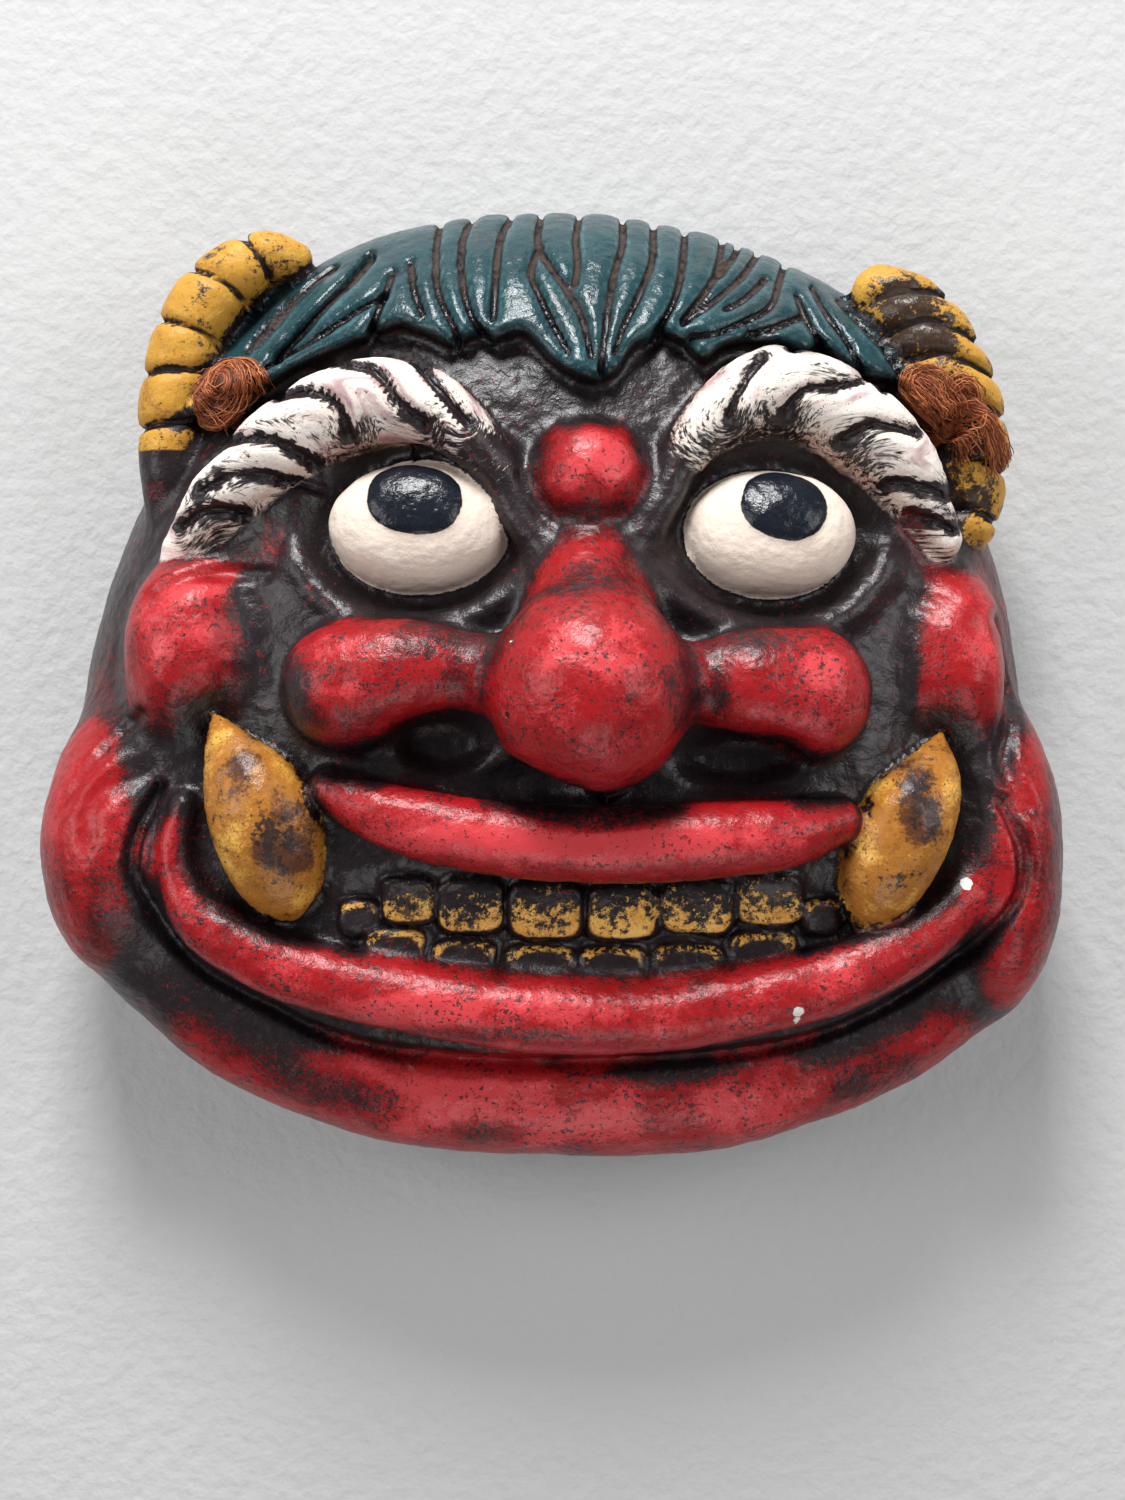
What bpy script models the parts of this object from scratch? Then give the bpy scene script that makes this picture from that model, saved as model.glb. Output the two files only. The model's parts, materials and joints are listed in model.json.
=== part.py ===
"""Oni mask: a cast plaster wall mask of a horned, grinning demon, hollow behind, with its cord.

Metres, +Z up. The mask lies face up on the flat rim round its hollow: +Z comes out of the face,
+Y goes to the hair and +X to the right of someone who looks at the face. The origin is on the
rim's plane, under the middle of the mask's outline.

The face is shaped as a modeller would shape it before casting, in face units, of which 290 go
across the mask: a domed blank, balls and rolls of clay pressed on and blended, then hollows and
grooves drawn with a tool. A net laid over the blank is moved onto that clay.
"""

from __future__ import annotations

import math
from dataclasses import dataclass
from functools import cached_property

import bmesh
import bpy
import numpy as np
from mathutils import Quaternion, Vector
from mathutils.bvhtree import BVHTree

MASK_WIDTH = 0.290
PLASTER_WALL = 0.011
CORD_DIAMETER = 0.0055
CORD_HOLE_DIAMETER = 0.0085
TOUCH_GAP = 0.0003
LEFT_KNOT_WIDTH = 0.022
RIGHT_KNOT_WIDTH = 0.030

FACE_UNITS_ACROSS = 290.0
UNIT = MASK_WIDTH / FACE_UNITS_ACROSS

NET_CELLS = 132
MASK_TRIANGLES = 7300
KNOT_TRIANGLES = 560
CORD_STEPS = 2
SANDING_DEPTH = 1.5
SANDING_BLOCK = (200.0, 200.0, 8.0)
EVENING_ROUNDS = 6
CLEAR_OF_CLAY = 55.0
CLOSE_ENOUGH = 0.02
NEAR = 12.0

# From here on, places and lengths are in face units.
# The blank: its height, how square its shoulder is, and its outline without horns and jowls.
BLANK_HEIGHT = 76.0
SHOULDER = 2.8
OUTLINE = (
    (139, -5), (122, 62), (107, 90), (83, 110), (59, 122), (4, 133), (-61, 121), (-86, 101),
    (-108, 78), (-129, 36), (-140, -14), (-142, -40), (-132, -83), (-112, -104), (-78, -120),
    (5, -133), (52, -129), (84, -119), (130, -87), (143, -62), (144, -32),
)  # fmt: skip

HAIR_THICKNESS = 8.0
HAIR_TAPER_HEIGHT = 34.0
HAIRLINE = (
    (-160, 60), (-106, 74), (-83, 83), (-59, 91), (-41, 97), (-27, 90), (-8, 95), (2, 88), (13, 80),
    (21, 90), (29, 96), (40, 92), (51, 95), (72, 92), (88, 79), (107, 72), (160, 56),
)  # fmt: skip
# Each groove between two locks of hair, from the crown to the brow.
LOCK_GROOVES = (
    ((-62, 122), (-72, 112), (-86, 97)), ((-53, 126), (-68, 110), (-86, 92)),
    ((-46, 128), (-61, 109), (-76, 92)), ((-47, 108), (-57, 103), (-70, 95)),
    ((-33, 133), (-43, 116), (-49, 101)), ((-39, 117), (-37, 110), (-32, 98)),
    ((-31, 134), (-31, 116), (-26, 96)), ((-23, 132), (-25, 114), (-20, 98)),
    ((-13, 137), (-14, 116), (-17, 99)), ((-3, 138), (-5, 121), (-11, 100)),
    ((-3, 131), (1, 112), (11, 88)), ((-6, 116), (-2, 104), (7, 90)),
    ((7, 138), (7, 117), (11, 109)), ((20, 137), (19, 115), (15, 86)),
    ((29, 135), (28, 112), (18, 92)), ((37, 133), (36, 111), (26, 94)),
    ((48, 129), (46, 114), (36, 102)), ((57, 125), (53, 111), (37, 101)),
    ((64, 121), (61, 107), (40, 97)), ((70, 103), (62, 101), (55, 98)),
    ((66, 117), (69, 107), (74, 98)), ((78, 113), (83, 98), (90, 84)),
    ((87, 103), (91, 94), (97, 84)),
)  # fmt: skip

# Routes of the rolled forms: across, up, lift above the blank, radius.
LEFT_BROW = (
    (-15, 57, 2, 4.5), (-25, 69, 5, 8.5), (-37, 75.5, 6, 11), (-51, 76, 7, 12), (-65, 71, 7, 11),
    (-79, 62, 6, 10), (-91, 51, 5, 8.5), (-102, 38, 2, 5.5),
)  # fmt: skip
RIGHT_BROW = (
    (38, 63, 2, 4.5), (46, 73, 5, 8.5), (60, 80, 7, 11.5), (76, 77, 7, 12), (91, 66, 7, 11),
    (101, 54, 6, 8.5), (109, 41, 3, 5.5),
)  # fmt: skip
LEFT_BROW_GROOVES = (
    ((-49, 88), (-36, 78), (-20, 64)), ((-64, 82), (-45, 77), (-38, 67)), ((-70, 73), (-57, 71)),
    ((-78, 69), (-63, 67), (-53, 62)), ((-84, 60), (-66, 61), (-57, 57)), ((-92, 51), (-78, 52)),
)  # fmt: skip
RIGHT_BROW_GROOVES = (
    ((55, 84), (50, 75), (47, 66)), ((62, 88), (68, 85), (74, 84)), ((72, 78), (81, 75), (88, 71)),
    ((60, 76), (69, 73), (77, 67)), ((77, 62), (86, 64), (95, 62)), ((89, 50), (100, 46)),
)  # fmt: skip
LEFT_FROWN = ((-14, 60, 0, 5), (-9, 46, 0, 5), (3, 31, 0, 5))
RIGHT_FROWN = ((37, 64, 0, 5), (29, 47, 0, 5), (18, 31, 0, 5))
LEFT_EYE_BAG = ((-8, 30, -3, 5), (-22, 20, -2, 5), (-40, 17, -2, 5), (-56, 21, -2, 5), (-67, 33, -3, 5))
RIGHT_EYE_BAG = ((27, 27, -3, 5), (45, 19, -2, 5), (62, 16, -2, 5), (79, 20, -2, 5), (90, 33, -3, 5))
NOSE_BRIDGE = ((10.5, 38, -3, 8), (10.5, 24, 3, 14), (10.5, 10, 8, 20))
LEFT_NOSTRIL = ((-55, -1, 5, 17), (-38.5, 3, 8, 14), (-25.5, 3, 8, 11), (-10, 1, 8, 11))
RIGHT_NOSTRIL = ((68, -3, 5, 18), (54, -1, 8, 15), (42, 0, 8, 11.5), (29, -1, 8, 11))
UPPER_LIP = (
    (-60, -28, 3, 5), (-50, -33, 5, 7.5), (-38, -37, 6, 9), (-18, -41, 7, 10), (20, -43, 7, 10.5),
    (57, -41, 7, 10), (78, -37.5, 4, 6.5),
)  # fmt: skip
LOWER_LIP = (
    (-100, -33, 3, 3.5), (-102.5, -48, 4, 5.5), (-96, -63, 5, 7.5), (-82, -72.5, 5, 8.5),
    (-64, -79.5, 5, 9), (-18, -88.5, 5, 10), (28, -90, 5, 10), (71, -82.5, 5, 9.5),
    (92, -74, 5, 9), (108, -64, 4, 8), (119, -51, 3, 7), (122, -38, 2, 5.5), (118, -26, 1, 3.5),
)  # fmt: skip
JAW = (
    (-108, -80, -14, 15), (-87, -96, -13, 17), (-60, -107, -12, 18), (-27, -113, -11, 19),
    (38, -114, -11, 19), (68, -108, -12, 18), (96, -97, -13, 18), (119, -82, -14, 17),
)  # fmt: skip
CHIN_FOLD = (
    (-107, -28), (-114, -46), (-110, -60), (-99, -77), (-80, -88), (-58, -98), (-28, -103), (3, -104.5),
    (41, -103), (69, -99), (91, -91), (113, -77), (127, -60), (129, -46), (124, -32),
)  # fmt: skip
LEFT_FANG = ((-91, -9, 2, 1.5), (-85, -21, 4, 8.5), (-78, -35, 5, 14.5), (-74, -49, 3, 12.5), (-72, -58, 1, 7))
RIGHT_FANG = ((107, -14, 2, 1.5), (103, -27, 4, 9), (96.5, -38, 5, 13), (91, -50, 3, 12.5), (87, -62, 1, 6))
# Routes of the horns: across, up, height above the rim, radius.
LEFT_HORN = (
    (-108.5, 50, 40, 7), (-108.5, 64, 41, 8.8), (-107.5, 81, 42, 9.2), (-104, 97, 42, 9.6),
    (-97.5, 110, 42, 9.6), (-89.5, 118, 42, 9), (-81, 122, 42, 7.5), (-73, 122, 41, 5),
)  # fmt: skip
RIGHT_HORN = (
    (120, 48, 40, 8), (119.5, 65, 41, 10.5), (116.5, 81, 42, 11.5), (110, 95, 42, 12),
    (102, 106, 42, 11), (94, 112, 42, 8),
)  # fmt: skip
HORN_RING_PITCH = 14.0

# Each tooth: across, up, and half its width and height.
TEETH = (
    (-37, -56, 6.2, 5.4), (-20, -60, 6.4, 5.8), (-1, -61.5, 7.6, 6.2), (19, -62, 7.6, 6), (39.5, -60.5, 8, 5.4),
    (59, -59, 6.6, 4.8), (-51, -62, 3.6, 4), (71, -63.5, 3.8, 5.2), (-45, -71, 8, 4.6), (-24, -75, 7.6, 4.8),
    (-2.5, -76.5, 9, 4.6), (18, -77, 8.6, 4.2), (38, -77, 8.6, 4.2), (59, -73, 7.4, 4.6),
)  # fmt: skip

# Where the cord comes out above each brow's end, as across, up and height.
LEFT_HOLE = (-90.0, 76.0, 53.0)
RIGHT_HOLE = (110.0, 71.0, 46.0)
# The cord's way through the hollow: down from one hole, along the wall behind, up to the other.
CORD_ROUTE = (
    (-74.0, 62.0, 24.5), (-66.0, 57.0, 13.0), (-54.0, 53.5, 5.4), (-38.0, 53.5, 3.2), (-12.0, 60.0, 3.2),
    (16.0, 63.0, 3.2), (42.0, 58.0, 3.2), (64.0, 53.0, 4.8), (80.0, 53.5, 11.5), (93.0, 59.0, 23.0),
)  # fmt: skip
STRAIGHT_IN_HOLE = 26.0
DRILL_LENGTH = 60.0

# How far a knot settles, what its underside keeps clear of the mask, and where its middle lies.
CORD_IN_HOLE = 12.0
KNOT_SINK = 1.0
KNOT_REST = 0.6
KNOT_SPREAD = 1.8
LEFT_KNOT = (-87.0, 80.0)
RIGHT_KNOT = (111.5, 75.0)


def smooth_union(first, second, blend):
    """The nearer of two distances, with the corner between them filled over blend."""
    share = np.clip(0.5 + 0.5 * (second - first) / blend, 0.0, 1.0)
    return second * (1.0 - share) + first * share - blend * share * (1.0 - share)


def smooth_step(values):
    """Zero below zero, one above one, with an easy slope between."""
    eased = np.clip(values, 0.0, 1.0)
    return eased * eased * (3.0 - 2.0 * eased)


def through_points(points, steps):
    """A smooth route through points, with so many steps from each to the next."""
    ends = np.array(points, dtype=float)
    padded = np.vstack([2 * ends[0] - ends[1], ends, 2 * ends[-1] - ends[-2]])
    route = []
    for before, start, end, after in zip(padded, padded[1:], padded[2:], padded[3:]):
        for step in range(steps):
            t = step / steps
            route.append(
                0.5 * (2 * start + (end - before) * t
                       + (2 * before - 5 * start + 4 * end - after) * t**2
                       + (3 * start - before - 3 * end + after) * t**3)
            )  # fmt: skip
    route.append(ends[-1])
    return np.array(route)


def line_distance(plan, route):
    """How far each point of a plan is from an open line drawn on it."""
    nearest = np.full(len(plan), np.inf)
    for start, end in zip(route, route[1:]):
        along = end - start
        share = np.clip((plan - start) @ along / (along @ along), 0.0, 1.0)
        nearest = np.minimum(nearest, np.linalg.norm(plan - start - share[:, None] * along, axis=1))
    return nearest


class Blank:
    """The domed blank that the face is modelled on."""

    def __init__(self):
        points = np.array(OUTLINE, dtype=float)
        angles = np.arctan2(points[:, 1], points[:, 0])
        order = np.argsort(angles)
        angles, radii = angles[order], np.hypot(points[:, 0], points[:, 1])[order]
        turn = 2 * math.pi
        knots = np.column_stack([angles, radii])
        wrapped = np.vstack([knots[-2:] - [turn, 0], knots, knots[:2] + [turn, 0]])
        smooth = through_points(wrapped, 12)
        self.angles, self.radii = smooth[:, 0], smooth[:, 1]

    def radius(self, angle):
        """The outline's radius in a direction across the face."""
        return np.interp(angle, self.angles, self.radii)

    def share(self, plan):
        """How far out each point of a plan is, as a share of the outline's radius there."""
        return np.hypot(plan[:, 0], plan[:, 1]) / self.radius(np.arctan2(plan[:, 1], plan[:, 0]))

    def height(self, x, y):
        """The blank's height over one place of the face."""
        out = float(self.share(np.array([[x, y]]))[0])
        return BLANK_HEIGHT * max(0.0, 1.0 - out**SHOULDER) ** (1.0 / SHOULDER)

    def distance(self, points):
        """How far each point is above the blank, below zero inside it."""
        radius = self.radius(np.arctan2(points[:, 1], points[:, 0]))
        out = np.hypot(points[:, 0], points[:, 1]) / radius
        up = np.abs(points[:, 2]) / BLANK_HEIGHT
        level = np.maximum(out**SHOULDER + up**SHOULDER, 1e-9)
        slope = np.hypot(out ** (SHOULDER - 1) / radius, up ** (SHOULDER - 1) / BLANK_HEIGHT)
        slope *= level ** (1.0 / SHOULDER - 1.0)
        return (level ** (1.0 / SHOULDER) - 1.0) / np.maximum(slope, 1e-4)


BLANK = Blank()


@dataclass(frozen=True)
class Ball:
    """A ball or egg of clay, pressed on so that its middle is at a lift above the blank."""

    across: float
    up: float
    lift: float
    radii: tuple[float, float, float]
    blend: float

    @cached_property
    def centre(self):
        """The middle of the ball."""
        return np.array([self.across, self.up, BLANK.height(self.across, self.up) + self.lift])

    def shape(self, points, clay):
        """The clay with this ball on it."""
        offset = points - self.centre
        near = np.all(np.abs(offset) < np.array(self.radii) + self.blend + NEAR, axis=1)
        scaled = offset[near] / self.radii
        out = np.linalg.norm(scaled, axis=1)
        steep = np.linalg.norm(scaled / self.radii, axis=1)
        distance = out * (out - 1.0) / np.maximum(steep, 1e-6)
        clay[near] = smooth_union(clay[near], distance, self.blend)


@dataclass(frozen=True)
class Roll:
    """A roll of clay laid along a route, thicker and thinner, and pressed flat by a share."""

    route: tuple
    blend: float
    flat: float = 1.0
    above_rim: bool = False
    ring_pitch: float = 0.0
    ring_depth: float = 2.4

    @cached_property
    def laid(self):
        """The roll's smooth middle line, with its radius at each point."""
        lifted = [
            (x, y, z if self.above_rim else BLANK.height(x, y) + z, radius)
            for x, y, z, radius in self.route
        ]
        return through_points(lifted, 3)

    def shape(self, points, clay):
        """The clay with this roll on it."""
        reach = self.laid[:, 3].max() + self.blend + NEAR
        low, high = self.laid[:, :3].min(axis=0) - reach, self.laid[:, :3].max(axis=0) + reach
        near = np.all((points > low) & (points < high), axis=1)
        clay[near] = smooth_union(clay[near], self.distance(points[near]), self.blend)

    def distance(self, points):
        """How far points are outside the roll, below zero inside it."""
        route = self.laid
        nearest = np.full(len(points), np.inf)
        run = 0.0
        squash = np.array([1.0, 1.0, 1.0 / self.flat])
        for start, end in zip(route, route[1:]):
            along = (end - start)[:3]
            share = np.clip((points - start[:3]) @ along / (along @ along), 0.0, 1.0)
            away = np.linalg.norm((points - start[:3] - share[:, None] * along) * squash, axis=1)
            radius = start[3] + share * (end[3] - start[3])
            length = np.linalg.norm(along)
            if self.ring_pitch:
                turns = (run + share * length) / self.ring_pitch
                radius = radius - self.ring_depth * np.exp(-(((turns % 1.0 - 0.5) * self.ring_pitch / 1.5) ** 2))
            nearest = np.minimum(nearest, away - radius)
            run += length
        return nearest * (0.5 + 0.5 * self.flat)


@dataclass(frozen=True)
class Groove:
    """A groove drawn with a round tool along a route over the face."""

    route: tuple
    width: float
    depth: float

    @cached_property
    def drawn(self):
        """The groove's smooth line."""
        return through_points(self.route, 4)

    def shape(self, points, clay):
        """The clay with this groove in it."""
        low, high = self.drawn.min(axis=0) - self.width, self.drawn.max(axis=0) + self.width
        plan = points[:, :2]
        near = np.all((plan > low) & (plan < high), axis=1)
        away = line_distance(plan[near], self.drawn)
        clay[near] += self.depth * smooth_step(1.0 - away / self.width)


@dataclass(frozen=True)
class Pad:
    """An oval or square patch of the face, raised or sunk by a depth, with soft edges."""

    across: float
    up: float
    half: tuple[float, float]
    depth: float
    edge: float
    squareness: float = 2.0

    def shape(self, points, clay):
        """The clay with this patch pushed in, or out where its depth is below zero."""
        out = np.abs((points[:, :2] - (self.across, self.up)) / self.half) ** self.squareness
        rim = (out.sum(axis=1) ** (1.0 / self.squareness) - 1.0) * min(self.half)
        clay += self.depth * smooth_step(0.5 - rim / self.edge)


@dataclass(frozen=True)
class HairCap:
    """The hair: one thick layer over the blank, down to the hairline."""

    thickness: float
    edge: float

    @cached_property
    def line(self):
        """The smooth hairline."""
        return through_points(HAIRLINE, 3)

    def shape(self, points, clay):
        """The clay with the hair laid over it."""
        near = points[:, 1] > self.line[:, 1].min() - NEAR
        plan = points[near, :2]
        below = np.interp(plan[:, 0], self.line[:, 0], self.line[:, 1]) > plan[:, 1]
        side = line_distance(plan, self.line) * np.where(below, 1.0, -1.0)
        thin_at_rim = 0.3 + 0.7 * smooth_step(points[near, 2] / HAIR_TAPER_HEIGHT)
        top = BLANK.distance(points[near]) - self.thickness * thin_at_rim
        cap = -smooth_union(-top, -side, self.edge)
        clay[near] = smooth_union(clay[near], cap, 1.5)


def brows():
    """Both brows, each a twisted roll with grooves across it."""
    rolls = [Roll(LEFT_BROW, 4.0), Roll(RIGHT_BROW, 4.0)]
    grooves = LEFT_BROW_GROOVES + RIGHT_BROW_GROOVES
    return rolls + [Groove(route, 2.8, 3.0) for route in grooves]


def nose():
    """The bridge, the round tip and the two wings with their nostrils."""
    return [
        Roll(LEFT_FROWN, 6.0),
        Roll(RIGHT_FROWN, 6.0),
        Ball(10.5, 56, -1, (15.5, 14.5, 14), 5.0),
        Roll(NOSE_BRIDGE, 7.0),
        Roll(LEFT_NOSTRIL, 5.0),
        Roll(RIGHT_NOSTRIL, 5.0),
        Ball(10.5, -3, 16, (27, 27, 26), 6.0),
        Pad(-29, -16, (12, 7), 7.0, 6.0),
        Pad(51, -20, (15, 7), 7.0, 6.0),
        Pad(-6, -27, (16, 6), 3.0, 8.0),
    ]


def eyes():
    """The sockets, the eyeballs, and the folds under them."""
    return [
        Roll(LEFT_EYE_BAG, 6.0),
        Roll(RIGHT_EYE_BAG, 6.0),
        Pad(-36, 42, (29, 23), 7.0, 12.0),
        Pad(60, 40.5, (28, 22.5), 7.0, 12.0),
        Ball(-35.7, 42.5, -5, (24.5, 17.8, 14), 0.6),
        Ball(60, 41, -5, (23.4, 17.3, 14), 0.6),
        Pad(-35.5, 48.5, (12, 9.2), -0.7, 1.5),
        Pad(61, 46, (10.6, 9), -0.7, 1.5),
    ]


def cheeks():
    """The cheeks, the jowls beside them and the creases between."""
    return [
        Ball(-99, 9, -5, (19, 27, 19), 8.0),
        Ball(112, 5, -6, (17, 27, 19), 8.0),
        Ball(-122, -45, -8, (22, 37, 28), 14.0),
        Ball(128, -49, -8, (17, 42, 28), 14.0),
        Roll(JAW, 9.0),
        Groove(((-108, 24), (-93, 30), (-77, 30)), 3.5, 2.5),
        Groove(((-110, -24), (-120, -28), (-125, -33), (-125, -42)), 4.0, 3.0),
        Groove(((97, 24), (108, 21), (119, 12)), 3.5, 2.5),
        Groove(((88, 18), (99, 15), (110, 9)), 3.5, 2.0),
        Groove(((124, 18), (128, -4), (125, -21), (130, -34)), 5.0, 2.5),
        Groove(CHIN_FOLD, 5.0, 4.5),
    ]


def mouth():
    """The lips, the fangs and the teeth between the lips."""
    lips = [Roll(UPPER_LIP, 3.5), Roll(LOWER_LIP, 3.5)]
    fangs = [Roll(LEFT_FANG, 1.2, flat=0.75), Roll(RIGHT_FANG, 1.2, flat=0.75)]
    sockets = [
        Groove(tuple((x, y) for x, y, _, _ in route), 17.0, 3.5) for route in (LEFT_FANG, RIGHT_FANG)
    ]
    teeth = [Pad(x, y, (across, up), -4.0, 2.4, 4.0) for x, y, across, up in TEETH]
    floor = [Pad(10, -64, (72, 14), 4.0, 9.0, 2.6)]
    return floor + teeth + sockets + lips + fangs


def hair():
    """The cap of hair and the grooves between its locks."""
    return [HairCap(HAIR_THICKNESS, 5.0)] + [Groove(route, 2.8, 3.6) for route in LOCK_GROOVES]


def horns():
    """Both horns, ringed, curving up beside the hair."""
    return [
        Roll(LEFT_HORN, 3.0, above_rim=True, ring_pitch=HORN_RING_PITCH),
        Roll(RIGHT_HORN, 3.0, above_rim=True, ring_pitch=HORN_RING_PITCH),
    ]


def carving():
    """Everything that is done to the blank, in the order in which it is done."""
    return cheeks() + eyes()[:4] + nose() + mouth() + brows() + horns() + hair() + eyes()[4:]


def hollow_forms():
    """The one form that the hollow behind the face follows: the nose."""
    return [Ball(10.5, -3, 6, (26, 28, 24), 16.0)]


def clay_distance(points, forms):
    """How far points are outside the modelled clay, below zero inside it."""
    clay = BLANK.distance(points)
    for form in forms:
        form.shape(points, clay)
    return clay


def net_on_blank(flat):
    """Each point of a square net laid over the blank down to its edge, and its way inwards."""
    across, up = flat[:, 0], flat[:, 1]
    disc = np.column_stack([across * np.sqrt(1 - up**2 / 2), up * np.sqrt(1 - across**2 / 2)])
    angle = np.arctan2(disc[:, 1], disc[:, 0])
    turn = np.linspace(0.0, math.pi / 2, 400)
    out, high = np.sin(turn) ** (2 / SHOULDER), np.cos(turn) ** (2 / SHOULDER)
    radius = BLANK.radius(angle)
    steps = np.hypot(np.diff(out) * radius.mean(), np.diff(high) * BLANK_HEIGHT)
    run = np.concatenate([[0.0], np.cumsum(steps)])
    run /= run[-1]
    reach = np.hypot(disc[:, 0], disc[:, 1])
    out, high = np.interp(reach, run, out), np.interp(reach, run, high)
    points = np.column_stack(
        [out * radius * np.cos(angle), out * radius * np.sin(angle), high * BLANK_HEIGHT]
    )
    points[reach > 1.0 - 1e-6, 2] = -SANDING_DEPTH
    ways = points / np.column_stack([radius, radius, np.full(len(points), BLANK_HEIGHT)]) ** 2
    ways[reach > 1.0 - 1e-6, 2] = 0.0
    return points, -ways / np.linalg.norm(ways, axis=1)[:, None]


def settle(points, ways, forms, level):
    """The points, moved along their ways until they lie at a level above the clay."""
    travel = np.full(len(points), -CLEAR_OF_CLAY)
    moving = np.arange(len(points))
    for _ in range(60):
        gaps = clay_distance(points[moving] + ways[moving] * travel[moving, None], forms) - level
        travel[moving] += 0.6 * gaps
        moving = moving[np.abs(gaps) > CLOSE_ENOUGH]
        if not len(moving):
            break
    return points + ways * travel[:, None]


def even_out(shaped, sheet, forms, level):
    """Spreads a sheet's points evenly over the clay, so that steep sides get their share."""
    free = [vert for vert in sheet if not vert.is_boundary]
    for _ in range(EVENING_ROUNDS):
        bmesh.ops.smooth_vert(
            shaped, verts=free, factor=0.5, use_axis_x=True, use_axis_y=True, use_axis_z=True
        )
        shaped.normal_update()
        places = np.array([vert.co for vert in free]) / UNIT
        outwards = np.array([vert.normal for vert in free])
        for _ in range(2):
            places -= outwards * (clay_distance(places, forms) - level)[:, None] * 0.8
        for vert, place in zip(free, places):
            vert.co = place * UNIT


def shell_mesh(name, cells):
    """The mask's mesh: a skin over the clay, one under it, and the band that joins their rims."""
    shaped = bmesh.new()
    sheets = []
    for forms, level in ((carving(), 0.0), (hollow_forms(), -PLASTER_WALL / UNIT)):
        sheet = bmesh.ops.create_grid(shaped, x_segments=cells, y_segments=cells, size=1.0)["verts"]
        points, ways = net_on_blank(np.array([vert.co[:2] for vert in sheet]))
        for vert, place in zip(sheet, settle(points, ways, forms, level)):
            vert.co = place * UNIT
        even_out(shaped, sheet, forms, level)
        sheets.append(sheet)
    under = dict(zip(*sheets))
    for edge in [edge for edge in shaped.edges if edge.is_boundary and edge.verts[0] in under]:
        start, end = edge.verts
        shaped.faces.new((start, end, under[end], under[start]))
    bmesh.ops.recalc_face_normals(shaped, faces=shaped.faces)
    bmesh.ops.triangulate(shaped, faces=shaped.faces)
    mesh = bpy.data.meshes.new(name)
    shaped.to_mesh(mesh)
    shaped.free()
    return mesh


def paint(name, colour, roughness):
    """A plain material."""
    material = bpy.data.materials.new(name)
    material.use_nodes = True
    shader = material.node_tree.nodes["Principled BSDF"]
    shader.inputs["Base Color"].default_value = (*colour, 1.0)
    shader.inputs["Roughness"].default_value = roughness
    shader.inputs["Metallic"].default_value = 0.0
    return material


def add_object(name, data, material=None):
    """A new object in the scene."""
    obj = bpy.data.objects.new(name, data)
    bpy.context.scene.collection.objects.link(obj)
    if material is not None:
        data.materials.append(material)
    return obj


def cutter(name, obj_mesh):
    """An object that only cuts others."""
    obj = add_object(name, obj_mesh)
    obj.hide_render = True
    obj.display_type = "WIRE"
    return obj


def cut(obj, tool):
    """Cuts one object by another."""
    boolean = obj.modifiers.new(tool.name, "BOOLEAN")
    boolean.operation = "DIFFERENCE"
    boolean.solver = "EXACT"
    boolean.object = tool


def thin_out(obj, triangles):
    """Merges the smallest facets until so many triangles are left."""
    thin = obj.modifiers.new("thin out", "DECIMATE")
    thin.ratio = triangles / sum(len(face.vertices) - 2 for face in obj.data.polygons)


def sanding_block():
    """The flat block that the rim is sanded on."""
    block = bmesh.new()
    bmesh.ops.create_cube(block, size=2.0)
    half = Vector(SANDING_BLOCK) * UNIT
    bmesh.ops.scale(block, verts=block.verts, vec=half)
    bmesh.ops.translate(block, verts=block.verts, vec=Vector((0.0, 0.0, -half.z)))
    mesh = bpy.data.meshes.new("sanding_block")
    block.to_mesh(mesh)
    block.free()
    return cutter("sanding_block", mesh)


def outwards(place):
    """The direction straight out of the blank at a place near its surface."""
    x, y, z = place
    radius = float(BLANK.radius(math.atan2(y, x)))
    return Vector((x / radius**2, y / radius**2, z / BLANK_HEIGHT**2)).normalized()


def surface_along(place):
    """Where the line straight out through a place leaves the clay."""
    way = np.array(outwards(place))
    start = np.array([place]) + 20.0 * way
    return Vector(settle(start, -way[None, :], carving(), 0.0)[0])


def surface_below(x, y):
    """The highest clay over a place of the face."""
    start = np.array([[x, y, BLANK_HEIGHT]])
    return Vector(settle(start, np.array([[0.0, 0.0, -1.0]]), carving(), 0.0)[0])


def drill(name, hole):
    """A round drill set right through the wall where the cord comes out."""
    bit = bmesh.new()
    radius = CORD_HOLE_DIAMETER / 2
    bmesh.ops.create_cone(
        bit, cap_ends=True, segments=16, radius1=radius, radius2=radius, depth=DRILL_LENGTH * UNIT
    )
    mesh = bpy.data.meshes.new(name)
    bit.to_mesh(mesh)
    bit.free()
    tool = cutter(name, mesh)
    tool.location = surface_along(hole) * UNIT
    tool.rotation_mode = "QUATERNION"
    tool.rotation_quaternion = outwards(hole).to_track_quat("Z", "Y")
    return tool


def finished(obj):
    """An object's shape with its modifiers, as a tree that finds the nearest place on it."""
    bpy.context.view_layer.update()
    return BVHTree.FromObject(obj, bpy.context.evaluated_depsgraph_get())


def cord_end(hole, knot_shape):
    """Where the cord's end stops, one gap short of the knot over its hole."""
    way = outwards(hole)
    start = (surface_along(hole) - way * CORD_IN_HOLE) * UNIT
    side = way.orthogonal().normalized() * CORD_DIAMETER / 2
    reach = []
    for ring in (0.0, 0.4, 0.8, 1.05):
        for turn in range(16):
            spot = start + Quaternion(way, math.pi * turn / 8) @ side * ring
            distance = knot_shape.ray_cast(spot, way)[3]
            if distance is not None:
                reach.append(distance)
    return start + way * (min(reach) - TOUCH_GAP)


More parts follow.
